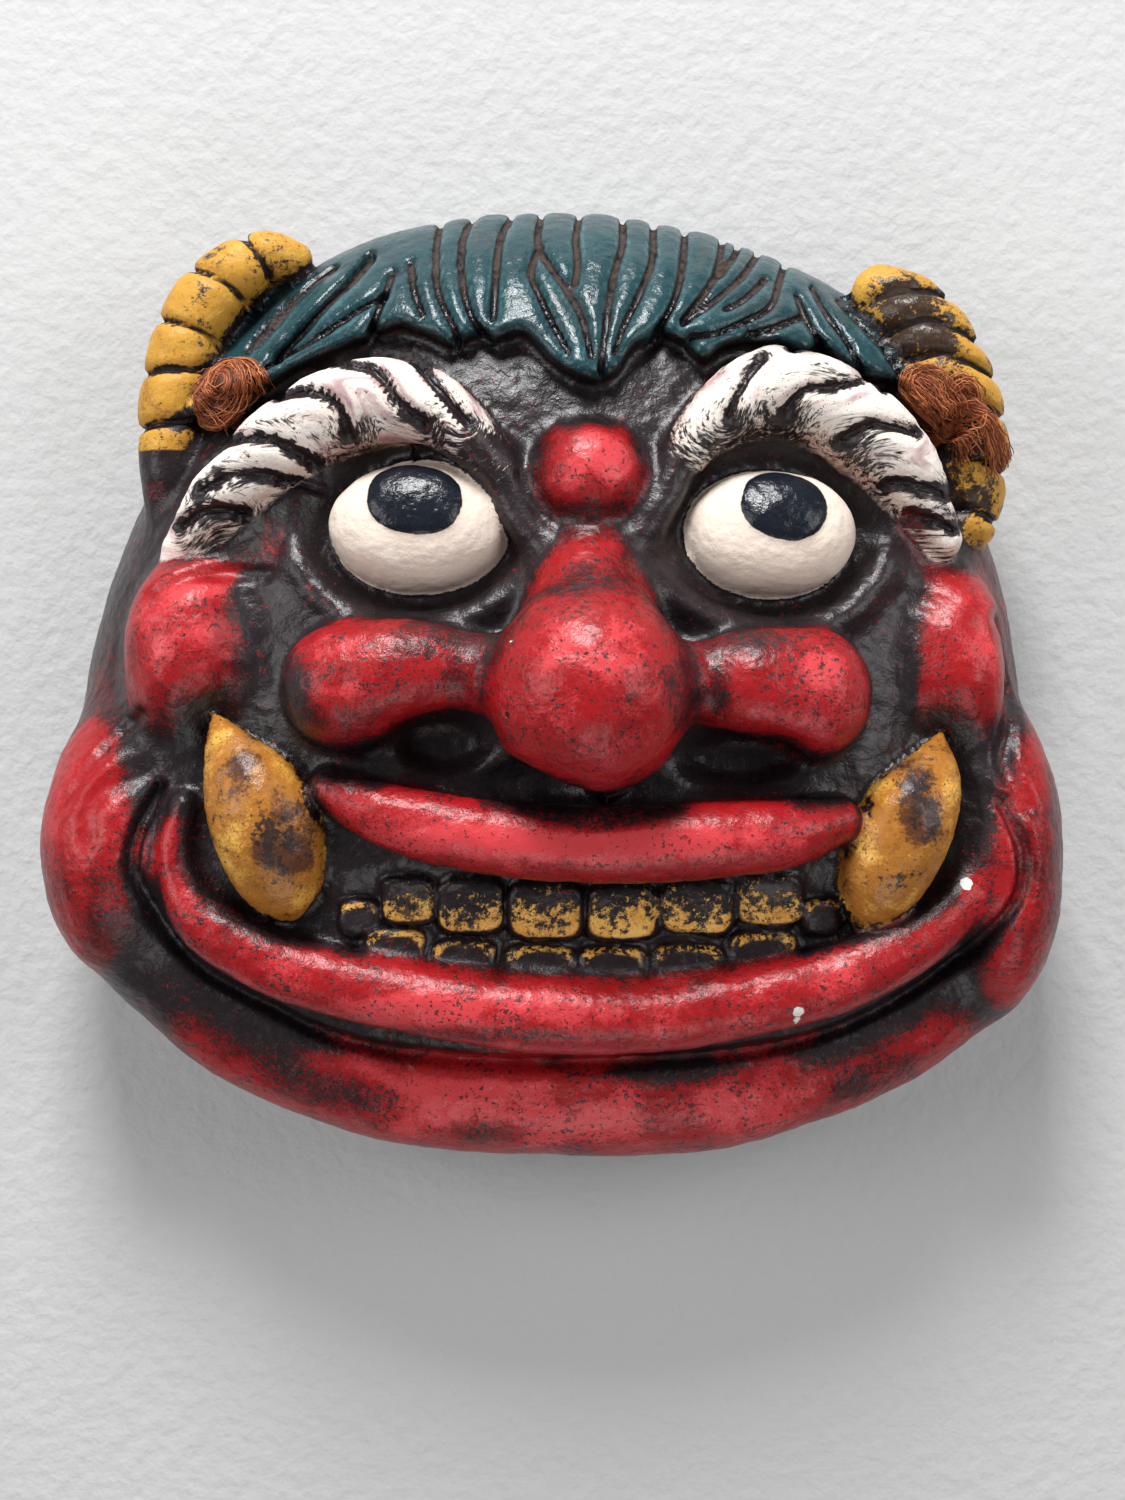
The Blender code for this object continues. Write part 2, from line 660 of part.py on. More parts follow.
def cord_points(knot_shapes):
    """The cord's way from one knot, through the hollow, to the other knot."""
    ends = []
    for hole, knot_shape in zip((LEFT_HOLE, RIGHT_HOLE), knot_shapes):
        top = cord_end(hole, knot_shape) / UNIT
        way = outwards(hole)
        ends.append([tuple(top - way * STRAIGHT_IN_HOLE * share) for share in (0.0, 0.33, 0.67, 1.0)])
    route = [*ends[0], *CORD_ROUTE, *reversed(ends[1])]
    return [Vector(point) * UNIT for point in through_points(route, CORD_STEPS)]


def tube(name, points, diameter, closed=False):
    """A round tube along points."""
    curve = bpy.data.curves.new(name, "CURVE")
    curve.dimensions = "3D"
    curve.bevel_depth = diameter / 2
    curve.bevel_resolution = 2
    curve.use_fill_caps = True
    spline = curve.splines.new("POLY")
    spline.use_cyclic_u = closed
    spline.points.add(len(points) - 1)
    for target, place in zip(spline.points, points):
        target.co = (*place, 1.0)
    return curve


def overhand(width, height, steps=40):
    """The closed loop of an overhand knot pulled tight, so wide and high."""
    points = []
    for step in range(steps):
        t = 2 * math.pi * step / steps
        across = (math.sin(t) + 2 * math.sin(2 * t)) / 5.2
        up = (math.cos(t) - 2 * math.cos(2 * t)) / 5.2
        points.append(Vector((across * width, up * height, -0.2 * width * math.sin(3 * t))))
    return points


def loose_end(size, *shares):
    """A strand through points given as shares of a knot's size."""
    return [Vector(point) * size for point in through_points(shares, 8)]


def tangle(name, strands, place, mask_shape, material):
    """Strands of cord merged to one lump, lying on the clay at a place."""
    lump = bmesh.new()
    for number, (points, closed, diameter) in enumerate(strands):
        curve = tube(f"{name}_strand_{number}", points, diameter, closed)
        strand = bpy.data.objects.new(curve.name, curve)
        mesh = strand.to_mesh()
        lump.from_mesh(mesh)
        strand.to_mesh_clear()
        bpy.data.objects.remove(strand)
        bpy.data.curves.remove(curve)
    mesh = bpy.data.meshes.new(name)
    lump.to_mesh(mesh)
    lump.free()
    whole = one_skin(mesh)
    lie_on_mask(whole, place, mask_shape)
    knot = add_object(name, one_skin(whole), material)
    thin_out(knot, KNOT_TRIANGLES)
    return knot


def one_skin(mesh):
    """A mesh's crossing and folded parts merged to one closed skin."""
    crossing = add_object(mesh.name, mesh)
    remesh = crossing.modifiers.new("merge", "REMESH")
    remesh.mode = "VOXEL"
    remesh.voxel_size = CORD_DIAMETER / 5
    bpy.context.view_layer.update()
    whole = bpy.data.meshes.new_from_object(crossing.evaluated_get(bpy.context.evaluated_depsgraph_get()))
    bpy.data.objects.remove(crossing)
    keep_largest(whole)
    return whole


def keep_largest(mesh):
    """Removes the crumbs beside a mesh's largest piece."""
    shape = bmesh.new()
    shape.from_mesh(mesh)
    left, pieces = set(shape.verts), []
    while left:
        piece, edge = set(), {left.pop()}
        while edge:
            piece |= edge
            edge = {side.other_vert(vert) for vert in edge for side in vert.link_edges} - piece
        left -= piece
        pieces.append(piece)
    largest = max(pieces, key=len)
    crumbs = [vert for vert in shape.verts if vert not in largest]
    bmesh.ops.delete(shape, geom=crumbs, context="VERTS")
    shape.to_mesh(mesh)
    shape.free()


def lie_on_mask(mesh, place, mask_shape):
    """Lays a lump on the mask at a place, and presses its underside to the forms there."""
    foot = surface_below(*place)
    way = outwards(foot)
    turn = Vector((0.0, 0.0, 1.0)).rotation_difference(way)
    lump = bmesh.new()
    lump.from_mesh(mesh)
    lowest = min(vert.co.z for vert in lump.verts)
    side = way.orthogonal().normalized() * KNOT_SPREAD * UNIT
    around = [Vector()] + [Quaternion(way, math.pi * step / 3) @ side for step in range(6)]
    for vert in lump.verts:
        flat = vert.co - Vector((0.0, 0.0, lowest))
        vert.co = turn @ flat + (foot - way * KNOT_SINK) * UNIT
        short = 0.0
        for offset in around:
            top = mask_shape.ray_cast(vert.co + offset + way * 80.0 * UNIT, -way)[0]
            if top is not None:
                short = max(short, KNOT_REST * UNIT - (vert.co - top).dot(way))
        vert.co += way * short
    lump.to_mesh(mesh)
    lump.free()


def left_knot(mask_shape, material):
    """The left knot: a ball of turns with one loose loop at its side."""
    size = LEFT_KNOT_WIDTH - CORD_DIAMETER
    strands = [
        (overhand(size, size * 0.9), True, CORD_DIAMETER * 1.3),
        (overhand(size * 0.5, size * 0.5, 20), True, CORD_DIAMETER * 1.3),
    ]
    return tangle("left_knot", strands, LEFT_KNOT, mask_shape, material)


def right_knot(mask_shape, material):
    """The right knot: a bight to the left, a tight knot, and a frayed tail to the right."""
    size = RIGHT_KNOT_WIDTH - CORD_DIAMETER
    strands = [
        (overhand(size * 0.75, size * 0.62), True, CORD_DIAMETER * 1.25),
        (overhand(size * 0.4, size * 0.4, 20), True, CORD_DIAMETER * 1.3),
        (loose_end(size, (0.0, 0.2, 0.0), (-0.62, 0.25, 0.05), (-0.2, -0.25, 0.0)), False, CORD_DIAMETER * 1.3),
        (loose_end(size, (0.0, 0.0, 0.0), (0.35, -0.22, 0.0), (0.68, -0.42, 0.0)), False, CORD_DIAMETER * 1.3),
    ]
    return tangle("right_knot", strands, RIGHT_KNOT, mask_shape, material)


def lay_at_origin(mask, pieces):
    """Sets every piece on an empty that brings the middle of the mask's outline to the origin."""
    corners = np.array([vert.co for vert in mask.data.vertices])
    middle = (corners.min(axis=0) + corners.max(axis=0)) / 2
    rest = add_object("rim_middle", None)
    rest.location = (-middle[0], -middle[1], 0.0)
    for piece in pieces:
        piece.parent = rest


def main():
    """Builds the mask, its cord and the cord's two knots."""
    for obj in list(bpy.data.objects):
        bpy.data.objects.remove(obj, do_unlink=True)
    lacquer = paint("red_paint", (0.42, 0.02, 0.03), 0.45)
    fibre = paint("rust_brown_fibre", (0.30, 0.09, 0.04), 0.9)
    mask = add_object("mask", shell_mesh("mask", NET_CELLS), lacquer)
    thin_out(mask, MASK_TRIANGLES)
    tools = [sanding_block(), drill("left_drill", LEFT_HOLE), drill("right_drill", RIGHT_HOLE)]
    for tool in tools:
        cut(mask, tool)
    mask_shape = finished(mask)
    knots = [left_knot(mask_shape, fibre), right_knot(mask_shape, fibre)]
    route = cord_points([finished(knot) for knot in knots])
    cord = add_object("hanging_cord", tube("hanging_cord", route, CORD_DIAMETER), fibre)
    lay_at_origin(mask, [mask, cord, *knots, *tools])


if __name__ == "__main__":
    main()
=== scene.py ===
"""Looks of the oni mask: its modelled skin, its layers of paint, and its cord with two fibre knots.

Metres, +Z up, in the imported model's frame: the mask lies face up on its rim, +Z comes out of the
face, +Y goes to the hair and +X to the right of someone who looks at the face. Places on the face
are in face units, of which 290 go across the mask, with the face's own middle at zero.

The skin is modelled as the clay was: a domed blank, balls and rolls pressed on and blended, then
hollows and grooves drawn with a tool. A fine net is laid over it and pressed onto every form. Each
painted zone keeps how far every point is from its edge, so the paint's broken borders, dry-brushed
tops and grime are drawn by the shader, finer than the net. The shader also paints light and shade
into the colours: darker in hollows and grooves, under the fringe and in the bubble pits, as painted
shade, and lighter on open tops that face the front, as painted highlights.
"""

from __future__ import annotations

import json
import logging
import math
from abc import ABC, abstractmethod
from dataclasses import dataclass, field
from enum import Enum
from functools import cached_property

import bmesh
import bpy
import numpy as np
from mathutils import Matrix, Vector, noise
from mathutils.bvhtree import BVHTree

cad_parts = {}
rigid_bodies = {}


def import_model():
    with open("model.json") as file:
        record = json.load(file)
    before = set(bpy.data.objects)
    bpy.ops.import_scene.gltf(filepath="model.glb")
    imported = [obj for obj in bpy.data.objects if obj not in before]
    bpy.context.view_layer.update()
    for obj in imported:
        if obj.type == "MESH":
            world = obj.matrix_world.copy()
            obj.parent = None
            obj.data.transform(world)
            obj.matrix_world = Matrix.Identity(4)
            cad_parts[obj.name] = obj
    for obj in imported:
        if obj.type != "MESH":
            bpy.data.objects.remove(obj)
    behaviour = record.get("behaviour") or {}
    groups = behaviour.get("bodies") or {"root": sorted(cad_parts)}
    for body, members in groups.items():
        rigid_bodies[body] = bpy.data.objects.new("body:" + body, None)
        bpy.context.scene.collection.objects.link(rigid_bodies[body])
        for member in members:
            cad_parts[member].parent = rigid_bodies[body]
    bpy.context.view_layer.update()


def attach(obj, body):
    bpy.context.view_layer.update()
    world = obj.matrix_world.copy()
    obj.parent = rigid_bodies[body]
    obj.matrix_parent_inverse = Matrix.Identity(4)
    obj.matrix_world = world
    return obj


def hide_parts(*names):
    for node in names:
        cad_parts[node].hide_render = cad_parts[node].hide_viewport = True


log = logging.getLogger("oni_mask")

Points = np.ndarray
Route = tuple[tuple[float, ...], ...]
Colour = tuple[float, float, float]

MASK_WIDTH = 0.290
FACE_UNITS_ACROSS = 290.0
FACE_MIDDLE = (-0.00092, -0.00219, 0.0)
CORD_DIAMETER = 0.0055
CORD_HOLE_DIAMETER = 0.0085
FIBRE_DIAMETER = 0.00034

# How far a form's smooth edge reaches past its own surface, for the boxes that forms are worked in.
NEAR = 12.0


class Zone(Enum):
    """A part of the face with its own paint, or its own line drawn in it."""

    RED = "red"
    HAIR = "hair"
    HORN = "horn"
    BROW = "brow"
    EYE = "eye"
    PUPIL = "pupil"
    UPPER_TOOTH = "upper_tooth"
    LOWER_TOOTH = "lower_tooth"
    FANG = "fang"
    LINE = "line"
    CHIP = "chip"
    OPEN = "open"
    WIDE = "wide"
    COVER = "cover"
    GRIME = "grime"
    GILT = "gilt"
    LIGHT = "light"


def smooth_union(first: Points, second: Points, blend: float) -> Points:
    """The nearer of two distances, with the corner between them filled.

    Args:
        first: Distances from one form.
        second: Distances from the other.
        blend: How wide the filled corner is.

    Returns:
        The distances from both forms as one.
    """
    share = np.clip(0.5 + 0.5 * (second - first) / blend, 0.0, 1.0)
    return second * (1.0 - share) + first * share - blend * share * (1.0 - share)


def ease(values: Points, low: float, high: float) -> Points:
    """Zero at low, one at high, with an easy slope between.

    Args:
        values: What is eased.
        low: Where the result is zero.
        high: Where the result is one. It may be below low.

    Returns:
        The eased values, from zero to one.
    """
    share = np.clip((values - low) / (high - low), 0.0, 1.0)
    return share * share * (3.0 - 2.0 * share)


def through_points(points: Route | list, steps: int) -> Points:
    """A smooth route through points.

    Args:
        points: The places that the route passes through.
        steps: How many steps there are from each place to the next.

    Returns:
        The route's own points, one row each.
    """
    ends = np.array(points, dtype=float)
    padded = np.vstack([2 * ends[0] - ends[1], ends, 2 * ends[-1] - ends[-2]])
    route = []
    for before, start, end, after in zip(padded, padded[1:], padded[2:], padded[3:]):
        for step in range(steps):
            t = step / steps
            route.append(
                0.5 * (2 * start + (end - before) * t
                       + (2 * before - 5 * start + 4 * end - after) * t**2
                       + (3 * start - before - 3 * end + after) * t**3)
            )  # fmt: skip
    route.append(ends[-1])
    return np.array(route)


def line_distance(plan: Points, route: Points) -> Points:
    """How far each point of a plan is from an open line drawn on it.

    Args:
        plan: Points, as across and up.
        route: The line's points, as across and up.

    Returns:
        One distance for each point.
    """
    nearest = np.full(len(plan), np.inf)
    for start, end in zip(route, route[1:]):
        along = end - start
        share = np.clip((plan - start) @ along / (along @ along), 0.0, 1.0)
        nearest = np.minimum(nearest, np.linalg.norm(plan - start - share[:, None] * along, axis=1))
    return nearest


@dataclass(frozen=True)
class FaceFrame:
    """Where face units lie in the model's frame.

    Attributes:
        unit: One face unit, in metres.
        middle: The face's own middle, in metres.
    """

    unit: float
    middle: tuple[float, float, float]

    def to_model(self, points: Points) -> Points:
        """Places on the face, in metres of the model's frame."""
        return points * self.unit + np.array(self.middle)

    def to_face(self, points: Points) -> Points:
        """Places of the model's frame, in face units."""
        return (points - np.array(self.middle)) / self.unit


class Blank:
    """The domed blank that the face is modelled on: a squared dome over a listed outline."""

    HEIGHT = 76.0
    SHOULDER = 2.8
    OUTLINE = (
        (139, -5), (122, 62), (107, 90), (83, 110), (59, 122), (4, 133), (-61, 121), (-86, 101),
        (-108, 78), (-129, 36), (-140, -14), (-142, -40), (-132, -83), (-112, -104), (-78, -120),
        (5, -133), (52, -129), (84, -119), (130, -87), (143, -62), (144, -32),
    )  # fmt: skip

    def __init__(self) -> None:
        """Works out the outline's radius all round."""
        points = np.array(self.OUTLINE, dtype=float)
        angles = np.arctan2(points[:, 1], points[:, 0])
        order = np.argsort(angles)
        knots = np.column_stack([angles[order], np.hypot(points[:, 0], points[:, 1])[order]])
        turn = 2 * math.pi
        wrapped = np.vstack([knots[-2:] - [turn, 0], knots, knots[:2] + [turn, 0]])
        smooth = through_points(wrapped, 12)
        self.angles, self.radii = smooth[:, 0], smooth[:, 1]

    def radius(self, angle: Points) -> Points:
        """The outline's radius in directions across the face."""
        return np.interp(angle, self.angles, self.radii)

    def height(self, x: float, y: float) -> float:
        """The blank's height over one place of the face."""
        out = math.hypot(x, y) / float(self.radius(math.atan2(y, x)))
        return self.HEIGHT * max(0.0, 1.0 - out**self.SHOULDER) ** (1.0 / self.SHOULDER)

    def distance(self, points: Points) -> Points:
        """How far points are above the blank.

        Args:
            points: Places in face units.

        Returns:
            One distance for each point, below zero inside the blank.
        """
        radius = self.radius(np.arctan2(points[:, 1], points[:, 0]))
        out = np.hypot(points[:, 0], points[:, 1]) / radius
        up = np.abs(points[:, 2]) / self.HEIGHT
        level = np.maximum(out**self.SHOULDER + up**self.SHOULDER, 1e-9)
        slope = np.hypot(out ** (self.SHOULDER - 1) / radius, up ** (self.SHOULDER - 1) / self.HEIGHT)
        slope *= level ** (1.0 / self.SHOULDER - 1.0)
        return (level ** (1.0 / self.SHOULDER) - 1.0) / np.maximum(slope, 1e-4)

    def outwards(self, place: Points) -> Vector:
        """The direction straight out of the blank at a place near its surface."""
        x, y, z = place
        radius = float(self.radius(math.atan2(y, x)))
        return Vector((x / radius**2, y / radius**2, z / self.HEIGHT**2)).normalized()

    def net(self, flat: Points) -> tuple[Points, Points]:
        """Lays a flat square net over the blank, down to its edge.

        Args:
            flat: The net's points, from -1 to 1 both ways.

        Returns:
            Where each point comes to lie, and its way inwards from there.
        """
        across, up = flat[:, 0], flat[:, 1]
        disc = np.column_stack([across * np.sqrt(1 - up**2 / 2), up * np.sqrt(1 - across**2 / 2)])
        angle = np.arctan2(disc[:, 1], disc[:, 0])
        turn = np.linspace(0.0, math.pi / 2, 400)
        out, high = np.sin(turn) ** (2 / self.SHOULDER), np.cos(turn) ** (2 / self.SHOULDER)
        radius = self.radius(angle)
        steps = np.hypot(np.diff(out) * radius.mean(), np.diff(high) * self.HEIGHT)
        run = np.concatenate([[0.0], np.cumsum(steps)])
        run /= run[-1]
        reach = np.hypot(disc[:, 0], disc[:, 1])
        out, high = np.interp(reach, run, out), np.interp(reach, run, high)
        points = np.column_stack(
            [out * radius * np.cos(angle), out * radius * np.sin(angle), high * self.HEIGHT]
        )
        at_edge = reach > 1.0 - 1e-6
        points[at_edge, 2] = 0.0
        ways = points / np.column_stack([radius, radius, np.full(len(points), self.HEIGHT)]) ** 2
        return points, -ways / np.linalg.norm(ways, axis=1)[:, None]


BLANK = Blank()


class Form(ABC):
    """Something that is done to the clay."""

    @abstractmethod
    def shape(self, points: Points, clay: Points) -> None:
        """Changes the clay's distances at points, in place."""


@dataclass(frozen=True)
class Ball(Form):
    """A ball or egg of clay, pressed on so that its middle is at a lift above the blank."""

    across: float
    up: float
    lift: float
    radii: tuple[float, float, float]
    blend: float

    @cached_property
    def centre(self) -> Points:
        """The middle of the ball."""
        return np.array([self.across, self.up, BLANK.height(self.across, self.up) + self.lift])

    def distance(self, points: Points) -> Points:
        """How far points are outside the ball, below zero inside it."""
        scaled = (points - self.centre) / self.radii
        out = np.linalg.norm(scaled, axis=1)
        steep = np.linalg.norm(scaled / self.radii, axis=1)
        return out * (out - 1.0) / np.maximum(steep, 1e-6)

    def shape(self, points: Points, clay: Points) -> None:
        """Presses the ball onto the clay."""
        reach = np.array(self.radii) + self.blend + NEAR
        near = np.all(np.abs(points - self.centre) < reach, axis=1)
        clay[near] = smooth_union(clay[near], self.distance(points[near]), self.blend)


@dataclass(frozen=True)
class Roll(Form):
    """A roll of clay laid along a route of across, up, lift and radius, pressed flat by a share."""

    route: Route
    blend: float
    flat: float = 1.0
    above_rim: bool = False

    @cached_property
    def laid(self) -> Points:
        """The roll's smooth middle line, with its radius at each point."""
        lifted = [
            (x, y, z if self.above_rim else BLANK.height(x, y) + z, radius)
            for x, y, z, radius in self.route
        ]
        return through_points(lifted, 4)

    def distance(self, points: Points) -> Points:
        """How far points are outside the roll, below zero inside it."""
        nearest = np.full(len(points), np.inf)
        squash = np.array([1.0, 1.0, 1.0 / self.flat])
        for start, end in zip(self.laid, self.laid[1:]):
            along = (end - start)[:3]
            share = np.clip((points - start[:3]) @ along / (along @ along), 0.0, 1.0)
            away = np.linalg.norm((points - start[:3] - share[:, None] * along) * squash, axis=1)
            nearest = np.minimum(nearest, away - start[3] - share * (end[3] - start[3]))
        return nearest * (0.5 + 0.5 * self.flat)

    def shape(self, points: Points, clay: Points) -> None:
        """Presses the roll onto the clay."""
        reach = self.laid[:, 3].max() + self.blend + NEAR
        low, high = self.laid[:, :3].min(axis=0) - reach, self.laid[:, :3].max(axis=0) + reach
        near = np.all((points > low) & (points < high), axis=1)
        clay[near] = smooth_union(clay[near], self.distance(points[near]), self.blend)


@dataclass(frozen=True)
class Groove(Form):
    """A groove drawn with a round tool along a route, with soft shoulders beside it."""

    route: Route
    width: float
    depth: float
    shoulder: float = 0.0
    above: float = -1.0

    @cached_property
    def drawn(self) -> Points:
        """The groove's smooth line."""
        return through_points(self.route, 5)

    def shape(self, points: Points, clay: Points) -> None:
        """Draws the groove in the clay."""
        reach = self.width * (3.0 if self.shoulder else 1.0)
        low, high = self.drawn.min(axis=0) - reach, self.drawn.max(axis=0) + reach
        plan = points[:, :2]
        near = np.all((plan > low) & (plan < high), axis=1) & (points[:, 2] > self.above)
        away = line_distance(plan[near], self.drawn)
        clay[near] += self.depth * ease(away, self.width, 0.0)
        if self.shoulder:
            clay[near] += self.shoulder * ease(away, self.width * 3.0, self.width * 0.3)


def turned_offset(points: Points, across: float, up: float, tilt: float) -> Points:
    """How far points lie from a middle on the plan, along axes that are turned by some degrees."""
    turn = math.radians(tilt)
    offset = points[:, :2] - (across, up)
    return offset @ np.array([[math.cos(turn), -math.sin(turn)], [math.sin(turn), math.cos(turn)]])


@dataclass(frozen=True)
class Pad(Form):
    """An oval or square patch of the face, sunk by a depth, or raised where it is below zero."""

    across: float
    up: float
    half: tuple[float, float]
    depth: float
    edge: float
    squareness: float = 2.0
    tilt: float = 0.0

    def rim(self, points: Points) -> Points:
        """How far points are outside the patch on the plan, below zero inside it."""
        turned = turned_offset(points, self.across, self.up, self.tilt)
        out = (np.abs(turned / self.half) ** self.squareness).sum(axis=1) ** (1.0 / self.squareness)
        return (out - 1.0) * min(self.half)

    def shape(self, points: Points, clay: Points) -> None:
        """Sinks or raises the patch."""
        clay += self.depth * ease(self.rim(points), self.edge / 2, -self.edge / 2)


@dataclass(frozen=True)
class HairCap(Form):
    """The hair: one thick layer over the blank, down to the hairline."""

    hairline: Route
    thickness: float
    edge: float
    taper: float

    @cached_property
    def line(self) -> Points:
        """The smooth hairline."""
        return through_points(self.hairline, 4)

    def side(self, points: Points) -> Points:
        """How far points are outside the hairline on the plan, below zero in the hair."""
        plan = points[:, :2]
        below = np.interp(plan[:, 0], self.line[:, 0], self.line[:, 1]) > plan[:, 1]
        return line_distance(plan, self.line) * np.where(below, 1.0, -1.0)

    def shape(self, points: Points, clay: Points) -> None:
        """Lays the hair over the clay."""
        near = points[:, 1] > self.line[:, 1].min() - NEAR
        hair = points[near]
        thin_at_rim = 0.3 + 0.7 * ease(hair[:, 2], 0.0, self.taper)
        top = BLANK.distance(hair) - self.thickness * thin_at_rim
        cap = -smooth_union(-top, -self.side(hair), self.edge)
        clay[near] = smooth_union(clay[near], cap, 1.5)


@dataclass(frozen=True)
class Smudge:
    """A soft oval patch where a brush left more or less paint: its middle, half size and amount."""

    across: float
    up: float
    half_width: float
    half_height: float
    amount: float
    tilt: float = 0.0

    def over(self, points: Points) -> Points:
        """How much of the patch lies at each point."""
        turned = turned_offset(points, self.across, self.up, self.tilt)
        out = np.linalg.norm(turned / (self.half_width, self.half_height), axis=1)
        return self.amount * ease(out, 1.35, 0.35)


@dataclass
class DemonFace:
    """The face as it was modelled: every form, and how far any point is from each painted zone."""

    hair: HairCap = field(
        default_factory=lambda: HairCap(
            (
                (-160, 60), (-106, 74), (-88, 80), (-77.5, 83.5), (-70.5, 87.5), (-61, 91), (-52.5, 94),
                (-42.5, 98), (-37.5, 97), (-31.5, 94.5), (-26, 91.5), (-21.5, 94.5), (-16, 93), (-9, 95.5),
                (-5, 93.5), (0, 88), (5.5, 84), (12.5, 81.5), (18, 84.5), (22.5, 91.5), (27, 93.5),
                (31, 95.5),
                (36.5, 93), (41.5, 88), (46, 91.5), (51, 93.5), (63.5, 93.5), (70, 91), (74, 93.5),
                (79, 91.5), (84, 87), (89.5, 85.5), (98.5, 84), (108, 74), (160, 56),
            ),
            thickness=8.4, edge=3.4, taper=34.0,
        )
    )  # fmt: skip
    lock_grooves: tuple[Route, ...] = (
        ((-32, 137), (-32, 129), (-32, 121), (-31, 108), (-26, 96), (-24, 90)),
        ((-22, 138), (-24, 130), (-25, 121), (-24, 109), (-21, 99), (-16, 93)),
        ((-11, 140), (-12, 133), (-14, 127), (-15, 115), (-15.5, 99)),
        ((-2.5, 140), (-3, 134), (-3.5, 123), (0, 115), (5.5, 106), (9, 98), (11, 88)),
        ((-3.5, 121), (-5.5, 113), (-3, 106), (0, 99), (5, 89)), ((-39, 117), (-37.5, 108), (-34.5, 100)),
        ((-44, 114), (-46, 107), (-49, 97)), ((-46, 107), (-54.5, 102), (-62, 97), (-70, 93), (-79, 88)),
        ((-61, 119), (-70, 111), (-77, 102), (-82, 96)), ((-74, 109), (-80.5, 101.5), (-85, 94)),
        ((8.5, 140), (8, 134), (7, 125), (7.5, 116), (6.5, 109)),
        ((21, 139), (20.5, 133), (20, 123), (17.5, 113), (15.5, 100), (13.5, 84)),
        ((30, 137), (29, 128), (28, 117), (24, 106), (19.5, 96), (17.5, 89)),
        ((39, 135), (38, 127), (36, 113), (33, 103), (27, 92)),
        ((50, 131), (48.5, 125), (46.5, 116), (42.5, 108), (36, 99)),
        ((62.5, 130), (60, 126), (57.5, 121), (52.5, 113), (44.5, 105), (36, 98)),
        ((60, 114), (54, 107), (48, 103)),
        ((70.5, 126.5), (67, 121), (64, 113), (61, 105), (54, 100), (45, 95.5), (38, 94.5)),
        ((69, 102), (61, 98), (54, 96)),
        ((69, 109), (71, 102), (75, 94)), ((74, 113), (78, 103), (83.5, 93), (87, 86)),
        ((82, 110), (87, 102), (94, 94), (98, 87)), ((56, 132.5), (54, 128), (52, 122), (47, 114)),
    )  # fmt: skip
    parting: Route = ((-51, 121), (-56, 113), (-63, 105), (-71, 96), (-76, 91))
    left_brow: Route = (
        (-15, 57, 2, 4.5), (-25, 69, 5, 8.5), (-37, 75.5, 6, 11), (-51, 76, 7, 12), (-65, 71, 7, 11),
        (-79, 62, 6, 10), (-91, 51, 5, 8.5), (-102, 38, 2, 5.5),
    )  # fmt: skip
    right_brow: Route = (
        (38, 63, 2, 4.5), (46, 73, 5, 8.5), (60, 80, 7, 11.5), (76, 77, 7, 12), (91, 66, 7, 11),
        (101, 54, 6, 8.5), (109, 41, 3, 5.5),
    )  # fmt: skip
    brow_grooves: tuple[Route, ...] = (
        ((-50, 90), (-38, 87), (-30, 78), (-22, 69)), ((-65, 86), (-55, 85), (-46, 82), (-40, 74), (-33, 69)),
        ((-73, 77), (-64, 77.5), (-57, 74), (-54, 67)), ((-96, 61), (-86, 65.5), (-75, 65), (-64, 60)),
        ((-95, 52), (-85, 56), (-71, 55.5), (-62, 53)), ((-101, 43), (-93, 47), (-84, 47)),
        ((48, 71), (51, 79), (57, 87)), ((65, 90), (74, 91), (83, 87), (90, 80)),
        ((63, 73), (68, 78), (77, 79.5), (85, 82)), ((79, 66), (87, 69.5), (99, 68)),
        ((92, 55), (99, 54), (108, 52)), ((99, 47), (105, 45), (111, 43)),
    )  # fmt: skip
    left_horn: Route = (
        (-108.5, 50, 40, 7), (-108.5, 64, 41, 9), (-107.5, 81, 42, 9.8), (-104, 97, 42, 10),
        (-97.5, 110, 42, 10), (-89.5, 118, 42, 9.4), (-81, 122, 42, 7.8), (-73, 122, 41, 5),
    )  # fmt: skip
    right_horn: Route = (
        (120, 48, 40, 8.5), (119.5, 65, 41, 11), (116.5, 81, 42, 12), (110, 95, 42, 12.4),
        (102, 106, 42, 11.4), (94, 112, 42, 8.4),
    )  # fmt: skip
    horn_grooves: tuple[Route, ...] = (
        ((-92, 130), (-87, 127), (-81, 119), (-78, 112)), ((-104, 119), (-99, 117), (-91, 113), (-86, 108)),
        ((-116, 104), (-110, 103.5), (-99, 100), (-92, 96)),
        ((-121, 88), (-114, 88.5), (-104, 89), (-94, 89)),
        ((-122, 72), (-114, 73), (-104, 74.5), (-96, 76)), ((92, 109), (98, 110.5), (105, 111), (115, 109)),
        ((94, 99), (101, 101.5), (108, 102), (124, 96)), ((98, 91), (105, 92.5), (113, 92), (131, 85)),
        ((112, 80), (120, 79.5), (134, 73)), ((112, 65), (121, 63.5), (135, 58)),
        ((112, 51), (121, 49), (134, 43)),
    )  # fmt: skip
    horns_painted_above: tuple[float, float] = (67.5, 40.0)
    left_nostril: Route = ((-55, -1, 5, 17), (-38.5, 3, 8, 14), (-25.5, 3, 8, 11), (-10, 1, 8, 11))
    right_nostril: Route = ((68, -3, 5, 18), (54, -1, 8, 15), (42, 0, 8, 11.5), (29, -1, 8, 11))
    upper_lip: Route = (
        (-60, -28, 3, 5), (-50, -33, 5, 7.5), (-38, -37, 6, 9), (-18, -41, 7, 10), (20, -43, 7, 10.5),
        (57, -41, 7, 10), (78, -37.5, 4, 6.5),
    )  # fmt: skip
